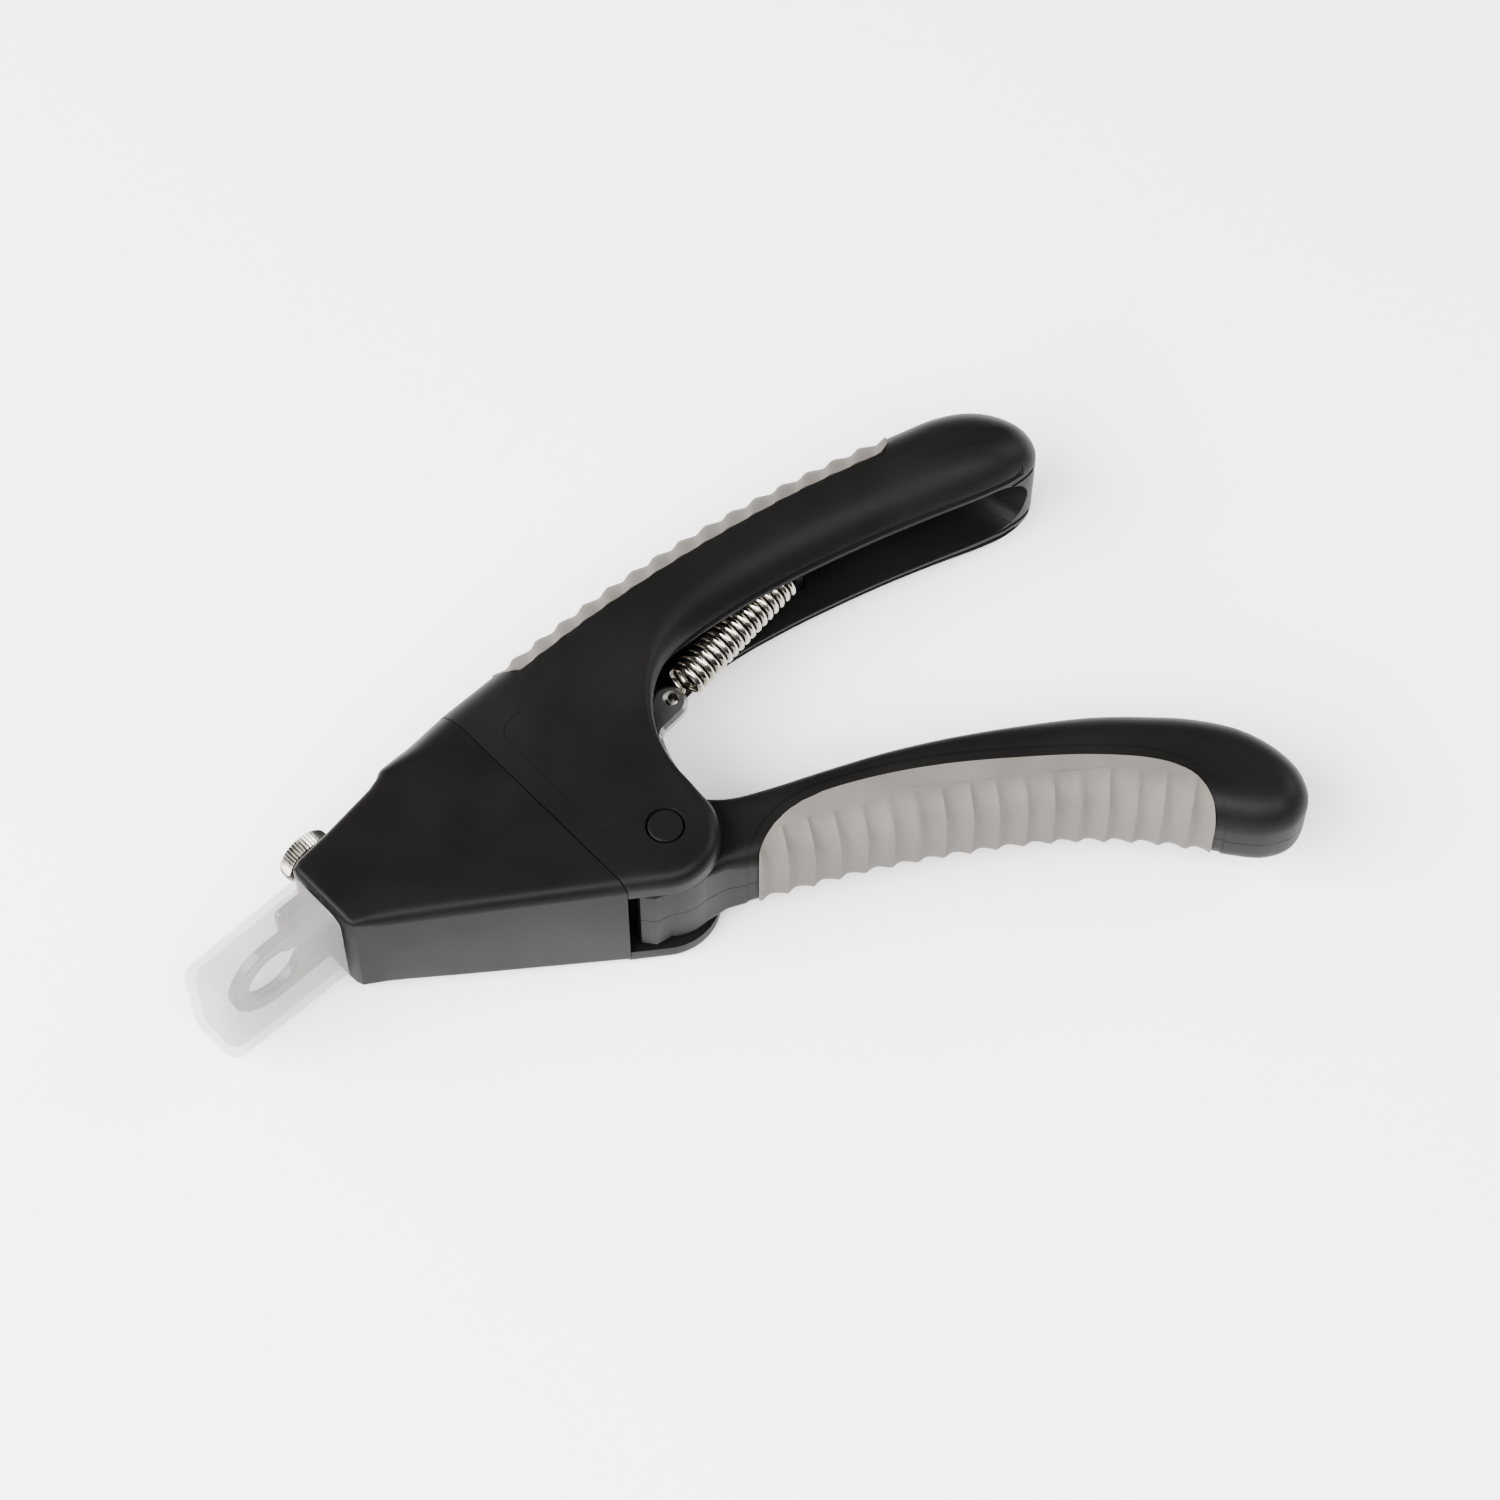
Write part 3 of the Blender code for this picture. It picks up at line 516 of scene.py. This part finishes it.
def make_nose_cover():
    cover = slab("nose_cover_moulding", cover_outline(), cover_half)
    combine(cover, box("behind", (SEAM_X, FAR), (-FAR, FAR), (-FAR, FAR)))
    wall = 2.4
    rise = wall / math.cos(math.atan(NEAR_WALL_SLOPE))
    inside = [
        (-8, near_wall_y(-8) + rise), (-8, 41.2), (-13, 41.0), (-24, 40.0), (-30, 37.9), (-41, 36.9),
        (-47.4, 36.3), (-47.4, near_wall_y(-47.4) + rise),
    ]
    rings = []
    for side in (-1, 1):
        rings.append([(x, y, MID + side * (cover_half(x) - wall)) for x, y in inside])
    combine(cover, loft("inside", rings))
    plate_seat = box("plate_seat", (-48.4, -34), (22.8, PLATE_LOW.y - 0.3), (MID - 8.2, MID + 8.2))
    combine(cover, plate_seat, "UNION")
    combine(cover, box("nose_mouth", (-55, -46.9), (29.8, 36.6), (MID - 9.1, MID + 9.1)))
    bore(cover, KNOB_X, MID, [(SHANK_RADIUS + 0.4, 35), (SHANK_RADIUS + 0.4, 45)], axis=1)
    bore(cover, KNOB_X, MID, [(3.6, 25.0), (3.6, 31)], axis=1)
    for screw in ("cover_screw_1", "cover_screw_2"):
        at = centre(screw)
        bore(cover, at.x, at.z, [(2.5, 42.5), (2.5, 50)], axis=1)
    return cover


def make_pivot_plug(node):
    low, high = place(node)
    radius, chamfer = PIVOT_RADIUS, 0.22
    profile = [
        (radius - chamfer, low.z), (radius, low.z + chamfer),
        (radius, high.z - chamfer), (radius - chamfer, high.z),
    ]
    return turned(node + "_disc", 0, 0, profile)


def make_anchor_pin():
    low, high = place("spring_anchor_pin")
    profile = [(1.0, low.z), (1.25, low.z + 0.3), (1.25, high.z - 0.3), (1.0, high.z)]
    return turned("spring_anchor_cross_pin", ANCHOR.x, ANCHOR.y, profile)


def make_ring_plate():
    corners = flat(arc(RING_X, MID, RING_RADIUS, 90, 270, 48))
    corners += [(PLATE_HIGH.x, PLATE_LOW.z), (PLATE_HIGH.x, PLATE_HIGH.z)]
    plate = prism("ring_plate_steel", corners, PLATE_LOW.y, PLATE_HIGH.y, axis=1, bevel=0.25)
    hole = NAIL_HOLE_RADIUS
    bore(plate, RING_X, MID, [
        (hole + 0.35, PLATE_LOW.y - 0.05), (hole, PLATE_LOW.y + 0.3),
        (hole, PLATE_HIGH.y - 0.2), (hole + 0.2, PLATE_HIGH.y + 0.05),
    ], axis=1, sides=64)
    bore(plate, KNOB_X, MID, [(SHANK_RADIUS + 0.4, 25), (SHANK_RADIUS + 0.4, 35)], axis=1)
    return plate


def make_blade_guard():
    corners = rounded([
        (GUARD_LOW.x, GUARD_LOW.z), (GUARD_HIGH.x, GUARD_LOW.z),
        (GUARD_HIGH.x, GUARD_HIGH.z), (GUARD_LOW.x, GUARD_HIGH.z),
    ], 1.2)
    guard = prism("blade_guard_steel", corners, GUARD_LOW.y, GUARD_HIGH.y, axis=1, bevel=0.15)
    return bore(guard, KNOB_X, MID, [(SHANK_RADIUS + 0.4, 30), (SHANK_RADIUS + 0.4, 40)], axis=1)


def make_screw(node, axis, head_radius, head_depth):
    """A cross-recessed screw in the place of its CAD node; its head is at the node's outer end."""
    low, high = place(node)
    middle = (low + high) / 2
    outwards = -1 if axis == 2 else 1
    head = low[axis] if outwards < 0 else high[axis]
    foot = high[axis] if outwards < 0 else low[axis]
    x, y = [middle[k] for k in range(3) if k != axis]
    shank = 1.0
    profile = [
        (shank * 0.6, foot), (shank, foot + outwards * 0.5), (shank, head - outwards * head_depth),
        (head_radius, head - outwards * head_depth), (head_radius, head - outwards * 0.35),
        (head_radius * 0.93, head - outwards * 0.12), (head_radius * 0.75, head),
    ]
    screw = turned(node + "_cross_head", x, y, profile, axis)
    for wide, tall in ((0.24, 1.15), (1.15, 0.24)):
        corners = [(x - wide, y - tall), (x + wide, y - tall), (x + wide, y + tall), (x - wide, y + tall)]
        low_end, high_end = sorted((head + outwards, head - outwards * 0.55))
        combine(screw, prism("recess", corners, low_end, high_end, axis))
    return screw


def make_return_spring():
    """An extension spring: a hook through the lever's tail, close turns, and a hook round the anchor pin."""
    start, end = Vector((26.4, 24.6, MID)), Vector((53.2, 28.0, MID))
    along = (end - start).normalized()
    across = Vector((-along.y, along.x, 0))
    hook = [(TAIL_X, TAIL_Y, MID + z) for z in (1.7, 0.0, -1.9)]
    hook += [(TAIL_X + 0.8, TAIL_Y + 0.5, MID - 3.0), (TAIL_X + 2.2, TAIL_Y + 1.0, MID - COIL_RADIUS)]
    per_turn = 28
    coil = []
    for k in range(COIL_TURNS * per_turn + 1):
        turn = 2 * math.pi * k / per_turn
        middle = start.lerp(end, k / (COIL_TURNS * per_turn))
        coil.append(middle + COIL_RADIUS * (math.sin(turn) * across - math.cos(turn) * Vector((0, 0, 1))))
    loop = [(ANCHOR.x - 2.4, ANCHOR.y + 1.0, MID - 2.2)]
    for degrees in range(110, -150, -20):
        ring = polar(1.25 + 0.3 + WIRE_RADIUS, degrees)
        loop.append((ANCHOR.x + ring.x, ANCHOR.y + ring.y, MID))
    first = curve_through(hook + [tuple(coil[0])], 5)[:-1]
    last = curve_through([tuple(coil[-1])] + loop, 3)[1:]
    path = first + coil + last
    return sweep("return_spring_coil", path, WIRE_RADIUS)


# The thumbscrew and the cap

KNURL_TEETH, KNURL_DEPTH = 48, 0.34


def make_thumbscrew():
    """A knurled knob on a shoulder and a shank."""
    profile = [
        (SHANK_RADIUS - 0.3, KNOB_LOW.y, 0), (SHANK_RADIUS, KNOB_LOW.y + 0.4, 0), (SHANK_RADIUS, 39.7, 0),
        (3.1, 39.8, 0), (3.1, 41.7, 0), (KNOB_RADIUS - 0.7, 41.9, 0), (KNOB_RADIUS - 0.25, 42.1, 0.4),
        (KNOB_RADIUS, 42.45, 1), (KNOB_RADIUS, 44.35, 1), (KNOB_RADIUS - 0.25, 44.7, 0.4),
        (KNOB_RADIUS - 0.7, KNOB_HIGH.y, 0), (KNOB_RADIUS - 1.6, KNOB_HIGH.y, 0),
        (KNOB_RADIUS - 1.9, KNOB_HIGH.y - 0.3, 0),
    ]
    sides = KNURL_TEETH * 4
    rings = []
    for radius, y, knurl in profile:
        ring = []
        for k in range(sides):
            tooth = (0.0, 0.5, 1.0, 0.5)[k % 4]
            offset = polar(radius - knurl * KNURL_DEPTH * tooth, 360 * k / sides)
            ring.append((KNOB_X + offset.x, y, MID + offset.y))
        rings.append(ring)
    return loft("thumbscrew_knurled", rings)


def cap_ring(x, y, z, radius):
    """A rounded rectangle across X: y and z are its (low, high)."""
    ring = []
    for cy, cz, start in (
        (y[1] - radius, z[1] - radius, 0), (y[0] + radius, z[1] - radius, 90),
        (y[0] + radius, z[0] + radius, 180), (y[1] - radius, z[0] + radius, 270),
    ):
        ring += [(x, p.x, p.y) for p in arc(cy, cz, radius, start, start + 90, 8)]
    return ring


def cap_solid(name, thickness):
    """The cap's outer shape, or with a thickness the space inside it, longer than the cap."""
    tip, root = CAP_LOW.x + thickness, CAP_HIGH.x + (5 if thickness else 0)
    corner, draft = 2.4, 0.25
    sections = [(root, 0.0)] + ([] if thickness else [(root - 0.15, 0.0)]) + [(tip + corner, draft)]
    for k in range(1, 9):
        turn = math.pi / 2 * k / 8
        sections.append((tip + corner * (1 - math.sin(turn)), draft + corner * (1 - math.cos(turn))))
    rings = []
    for x, inset in sections:
        move = inset + thickness
        y = (CAP_LOW.y + move, CAP_HIGH.y - move)
        z = (CAP_LOW.z + move, CAP_HIGH.z - move)
        rings.append(cap_ring(x, y, z, max(0.6, 2.6 - 0.6 * bool(thickness) - 0.5 * (inset - draft))))
    return loft(name, rings)


def make_safety_cap():
    return combine(cap_solid("safety_cap_frosted", 0.0), cap_solid("inside", 1.2))


# The moving handle

SHELL_STEPS = ((2.0, 0.12), (1.75, 0.24))    # the skin steps down beside the grip: (distance, depth)


def make_drive_lever():
    low, high = MID - LEVER_HALF, MID + LEVER_HALF
    lever = prism("drive_lever_steel", rounded(lever_outline(), 1.4, 3), low, high, bevel=0.6)
    bore(lever, 0, 0, [(PIVOT_RADIUS + 0.3, 0), (PIVOT_RADIUS + 0.3, THICKNESS)])
    bore(lever, TAIL_X, TAIL_Y, [(1.5, low - 0.05), (1.2, low + 0.3), (1.2, high - 0.3), (1.5, high + 0.05)])
    return lever


def make_handle_shell(name, side):
    """One moulded half of the moving handle: side is 1 above the parting plane and -1 below it."""
    shell = slab(name, moving_handle_outline(), handle_half)
    for gap, depth in SHELL_STEPS:
        cut_grip_recess(shell, moving_grip_region(), moving_handle_outline(), handle_half, gap, depth)
    cut_grip_recess(shell, moving_grip_region(), moving_handle_outline(), handle_half)
    away = (MID - 0.07, FAR) if side < 0 else (-FAR, MID + 0.07)
    combine(shell, box("other_half", (-30, 110), (-90, 30), away))
    pocket = LEVER_HALF + 0.3
    combine(shell, prism("lever_pocket", lever_outline(0.3), MID - pocket, MID + pocket))
    combine(shell, channel("hollow", [
        (24.0, -9.2, 22.0, -14.0, 5.6), (40.0, -15.6, 36.0, -22.5, 5.6), (55.0, -24.6, 48.0, -31.0, 5.6),
    ]))
    bore(shell, 0, 0, [(PIVOT_RADIUS + 0.3, 0), (PIVOT_RADIUS + 0.3, THICKNESS)])
    bottom = MID - HANDLE_HALF
    for x, y in HANDLE_SCREWS:
        bore(shell, x, y, [(2.9, bottom - 0.1), (2.6, bottom + 0.2), (2.6, bottom + 2.2)])
    return shell


# The blade

def make_cutting_blade():
    """A flat blade on edge, ground at the front, with a long hole for the thumbscrew."""
    low, high = BLADE_LOW.y, BLADE_HIGH.y
    section = [
        (BLADE_HIGH.x, low), (BLADE_HIGH.x, high), (BLADE_LOW.x + 2.6, high),
        (BLADE_LOW.x, low + 0.12), (BLADE_LOW.x, low),
    ]
    blade = prism("cutting_blade_ground", section, BLADE_LOW.z, BLADE_HIGH.z, bevel=0.06)
    half = SHANK_RADIUS + 0.45
    ahead = arc(KNOB_X, MID, half, 90, 270, 16)
    behind = arc(KNOB_X + 13.6, MID, half, -90, 90, 16)
    return combine(blade, prism("long_hole", flat(ahead + behind), 25, 40, axis=1))


# Materials. Texture coordinates are metres in the row frame, so a scale of 1000 gives 1 mm features.

def add_node(tree, kind, inputs=None, **settings):
    node = tree.nodes.new(kind)
    for key, value in (inputs or {}).items():
        node.inputs[key].default_value = value
    for key, value in settings.items():
        setattr(node, key, value)
    return node


def join(tree, source, output, target, socket):
    tree.links.new(source.outputs[output], target.inputs[socket])


class Finish:
    """A Principled material in the making, with procedural textures in object space."""

    def __init__(self, name, roughness, metallic=0.0, specular=0.5):
        self.material = bpy.data.materials.new(name)
        self.material.use_nodes = True
        self.tree = self.material.node_tree
        self.shader = self.tree.nodes["Principled BSDF"]
        self.shader.inputs["Roughness"].default_value = roughness
        self.shader.inputs["Metallic"].default_value = metallic
        self.shader.inputs["Specular IOR Level"].default_value = specular
        self.coordinates = add_node(self.tree, "ShaderNodeTexCoord")
        self.bump = None

    def noise(self, scale, detail=3.0, stretch=(1, 1, 1), roughness=0.5):
        stretched = add_node(self.tree, "ShaderNodeMapping", {"Scale": stretch})
        join(self.tree, self.coordinates, "Object", stretched, "Vector")
        settings = {"Scale": scale, "Detail": detail, "Roughness": roughness}
        noise = add_node(self.tree, "ShaderNodeTexNoise", settings)
        join(self.tree, stretched, "Vector", noise, "Vector")
        return noise

    def colour(self, texture, low, high, dark, light):
        """The base colour goes from dark to light as the texture goes from low to high."""
        ramp = add_node(self.tree, "ShaderNodeValToRGB")
        ramp.color_ramp.elements[0].position = low
        ramp.color_ramp.elements[0].color = (*dark, 1)
        ramp.color_ramp.elements[1].position = high
        ramp.color_ramp.elements[1].color = (*light, 1)
        join(self.tree, texture, 0, ramp, "Fac")
        join(self.tree, ramp, "Color", self.shader, "Base Color")

    def roughness(self, texture, low, high):
        settings = {"From Min": 0.3, "From Max": 0.7, "To Min": low, "To Max": high}
        spread = add_node(self.tree, "ShaderNodeMapRange", settings)
        join(self.tree, texture, 0, spread, "Value")
        join(self.tree, spread, "Result", self.shader, "Roughness")

    def relief(self, texture, height, strength=1.0):
        """Adds a bump of that height in metres, on top of any earlier one."""
        bump = add_node(self.tree, "ShaderNodeBump", {"Strength": strength, "Distance": height})
        join(self.tree, texture, 0, bump, "Height")
        if self.bump:
            join(self.tree, self.bump, "Normal", bump, "Normal")
        self.bump = bump
        join(self.tree, bump, "Normal", self.shader, "Normal")


def body_plastic():
    finish = Finish("body_plastic_grained", 0.42, specular=0.06)
    smudge = finish.noise(45, 4)
    finish.colour(smudge, 0.3, 0.75, (0.0028, 0.0027, 0.0026), (0.0042, 0.0040, 0.0038))
    finish.roughness(smudge, 0.38, 0.5)
    finish.relief(finish.noise(2600, 2), 0.00006, 0.35)
    return finish.material


def cover_plastic():
    finish = Finish("cover_plastic_satin", 0.38, specular=0.05)
    smudge = finish.noise(60, 4)
    finish.colour(smudge, 0.3, 0.75, (0.0024, 0.0023, 0.0022), (0.0036, 0.0034, 0.0032))
    finish.roughness(smudge, 0.33, 0.44)
    finish.relief(finish.noise(3400, 2), 0.00003, 0.3)
    return finish.material


def grip_rubber():
    finish = Finish("grip_rubber_soft", 0.7, specular=0.3)
    cloud = finish.noise(120, 5)
    finish.colour(cloud, 0.25, 0.8, (0.060, 0.053, 0.046), (0.088, 0.079, 0.070))
    finish.roughness(cloud, 0.62, 0.78)
    finish.relief(finish.noise(2800, 3), 0.00008, 0.5)
    return finish.material


def plate_steel():
    finish = Finish("plate_steel_brushed", 0.35, metallic=1.0)
    lines = finish.noise(60, 3, stretch=(1, 40, 40))
    finish.colour(lines, 0.3, 0.7, (0.05, 0.055, 0.07), (0.11, 0.12, 0.14))
    finish.roughness(lines, 0.26, 0.42)
    finish.relief(lines, 0.00003, 0.5)
    return finish.material


def sheared_steel():
    """Smooth plate whose edges carry the tool's rough tear."""
    finish = Finish("lever_steel_sheared", 0.25, metallic=1.0)
    tear = finish.noise(900, 4, stretch=(1, 1, 0.25))
    sheen = finish.noise(90, 3)
    finish.colour(sheen, 0.3, 0.75, (0.40, 0.395, 0.39), (0.46, 0.45, 0.44))
    finish.roughness(sheen, 0.24, 0.32)
    finish.relief(tear, 0.00012)
    upright = add_node(finish.tree, "ShaderNodeSeparateXYZ")
    join(finish.tree, finish.coordinates, "Normal", upright, "Vector")
    settings = {"From Min": 0.6, "From Max": 0.95, "To Min": 0.7, "To Max": 0.04}
    edges = add_node(finish.tree, "ShaderNodeMapRange", settings)
    join(finish.tree, upright, "Z", edges, "Value")
    join(finish.tree, edges, "Result", finish.bump, "Strength")
    return finish.material


def bright_nickel():
    finish = Finish("nickel_bright", 0.15, metallic=1.0)
    cloud = finish.noise(500, 4)
    finish.colour(cloud, 0.25, 0.8, (0.42, 0.39, 0.34), (0.56, 0.53, 0.48))
    finish.roughness(cloud, 0.1, 0.24)
    finish.relief(finish.noise(1800, 3), 0.00002, 0.5)
    return finish.material


def knob_nickel():
    """Duller and darker than the spring."""
    finish = Finish("nickel_knurled", 0.3, metallic=1.0)
    cloud = finish.noise(600, 4)
    finish.colour(cloud, 0.25, 0.8, (0.15, 0.14, 0.125), (0.28, 0.265, 0.24))
    finish.roughness(cloud, 0.22, 0.36)
    finish.relief(finish.noise(1800, 3), 0.00002, 0.5)
    return finish.material


def nut_brass():
    finish = Finish("brass_turned", 0.3, metallic=1.0)
    rings = finish.noise(150, 3, stretch=(4, 30, 4))
    finish.colour(rings, 0.3, 0.7, (0.55, 0.36, 0.13), (0.74, 0.53, 0.24))
    finish.roughness(rings, 0.25, 0.4)
    finish.relief(rings, 0.00002, 0.5)
    return finish.material


def cap_clear():
    finish = Finish("cap_frosted_plastic", 0.5, specular=0.5)
    cloud = finish.noise(140, 4)
    finish.colour(cloud, 0.3, 0.75, (0.24, 0.23, 0.215), (0.32, 0.31, 0.295))
    finish.roughness(cloud, 0.38, 0.55)
    finish.relief(finish.noise(1500, 3), 0.00003, 0.4)
    finish.shader.inputs["Alpha"].default_value = 0.3
    return finish.material


MAKERS = {
    "body_plastic": body_plastic, "cover_plastic": cover_plastic, "grip_rubber": grip_rubber,
    "plate_steel": plate_steel, "bright_nickel": bright_nickel, "nut_brass": nut_brass,
    "cap_clear": cap_clear,
}
SLOTS = {part["node"]: part["material_slot"] for part in frame["record"]["subparts"]}
BODIES = {node: body for body, nodes in frame["record"]["behaviour"]["bodies"].items() for node in nodes}


def paint(piece, material):
    piece.data.materials.clear()
    piece.data.materials.append(material)


def stand_for(piece, node, material):
    """Finishes a piece that is shown in place of a CAD node, on that node's body."""
    paint(piece, material)
    piece.data.shade_smooth()
    piece.data.set_sharp_from_angle(angle=SHARP_ANGLE)
    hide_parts(node)
    if node == "return_spring":
        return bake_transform(piece)
    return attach(piece, BODIES[node])


def make_pieces():
    materials = {slot: make() for slot, make in MAKERS.items()}
    special = {"drive_lever": sheared_steel(), "thumbscrew": knob_nickel()}
    moving_grip = grip_shell(
        "moving_grip_ribbed", moving_grip_region(), moving_handle_outline(RIB_STEPS), handle_half, moving_ribs,
    )
    fixed_grip = grip_shell(
        "fixed_grip_ribbed", fixed_grip_region(), body_outline(RIB_STEPS), even, fixed_ribs,
    )
    made = {
        "fixed_body": make_fixed_body(),
        "nose_cover": make_nose_cover(),
        "fixed_grip": fixed_grip,
        "pivot_plug_top": make_pivot_plug("pivot_plug_top"),
        "pivot_plug_bottom": make_pivot_plug("pivot_plug_bottom"),
        "spring_anchor_pin": make_anchor_pin(),
        "ring_plate": make_ring_plate(),
        "blade_guard": make_blade_guard(),
        "return_spring": make_return_spring(),
        "thumbscrew": make_thumbscrew(),
        "safety_cap": make_safety_cap(),
        "drive_lever": make_drive_lever(),
        "handle_shell_top": make_handle_shell("handle_shell_top_moulding", 1),
        "handle_shell_bottom": make_handle_shell("handle_shell_bottom_moulding", -1),
        "moving_grip": moving_grip,
        "cutting_blade": make_cutting_blade(),
    }
    for number in (1, 2, 3):
        made[f"handle_screw_{number}"] = make_screw(f"handle_screw_{number}", 2, 2.2, 1.2)
    for number in (1, 2):
        made[f"cover_screw_{number}"] = make_screw(f"cover_screw_{number}", 1, 2.2, 0.6)
        made[f"ring_plate_screw_{number}"] = make_screw(f"ring_plate_screw_{number}", 1, 1.9, 0.7)
        made[f"blade_screw_{number}"] = make_screw(f"blade_screw_{number}", 1, 2.1, 1.0)
    for node, piece in made.items():
        stand_for(piece, node, special.get(node, materials[SLOTS[node]]))
    for node, piece in frame["nodes"].items():
        if node not in made:
            paint(piece, materials[SLOTS[node]])


# The studio

AIM = Vector((25.7, 6.7, 14.7)) * MM
CAMERA_AZIMUTH, CAMERA_ELEVATION, CAMERA_DISTANCE, CAMERA_LENS = -43.3, 61.0, 0.7238, 100.8


def from_aim(azimuth, elevation, distance):
    """The point that far from the aim. Azimuth 0 is on the -Y side."""
    a, e = math.radians(azimuth), math.radians(elevation)
    return AIM + distance * Vector((math.sin(a) * math.cos(e), -math.cos(a) * math.cos(e), math.sin(e)))


def face(item, location, target=AIM):
    item.location = location
    item.rotation_mode = "QUATERNION"
    item.rotation_quaternion = (target - location).to_track_quat("-Z", "Y")
    bpy.context.scene.collection.objects.link(item)


def make_camera():
    lens = bpy.data.cameras.new("camera")
    lens.lens, lens.sensor_width = CAMERA_LENS, 36.0
    lens.clip_start, lens.clip_end = 0.01, 50.0
    camera = bpy.data.objects.new("camera", lens)
    face(camera, from_aim(CAMERA_AZIMUTH, CAMERA_ELEVATION, CAMERA_DISTANCE))
    bpy.context.scene.camera = camera


def make_light(name, azimuth, elevation, distance, size, watts, colour=(1, 1, 1)):
    lamp = bpy.data.lights.new(name, "AREA")
    lamp.shape, lamp.size, lamp.size_y = "RECTANGLE", size[0], size[1]
    lamp.energy, lamp.color = watts, colour
    face(bpy.data.objects.new(name, lamp), from_aim(azimuth, elevation, distance))


def make_floor():
    finish = Finish("floor_white_paper", 0.9, specular=0.1)
    finish.colour(finish.noise(3, 2), 0.2, 0.8, (0.90, 0.90, 0.90), (0.92, 0.92, 0.92))
    floor = prism("floor", flat(arc(0, 0, 4000, 0, 354, 59)), -3, 0)
    paint(floor, finish.material)


def make_studio():
    make_camera()
    make_floor()
    make_light("softbox_left", -98, 44, 1.2, (1.3, 0.9), 92)
    make_light("softbox_front", -15, 55, 1.2, (0.9, 0.7), 26)
    make_light("softbox_behind", -150, 24, 1.2, (0.9, 0.5), 20)
    make_light("softbox_right", 70, 32, 1.2, (0.9, 0.6), 16)
    world = bpy.data.worlds.new("studio")
    world.use_nodes = True
    world.node_tree.nodes["Background"].inputs["Color"].default_value = (1, 1, 1, 1)
    world.node_tree.nodes["Background"].inputs["Strength"].default_value = 0.16
    bpy.context.scene.world = world


make_pieces()
make_studio()
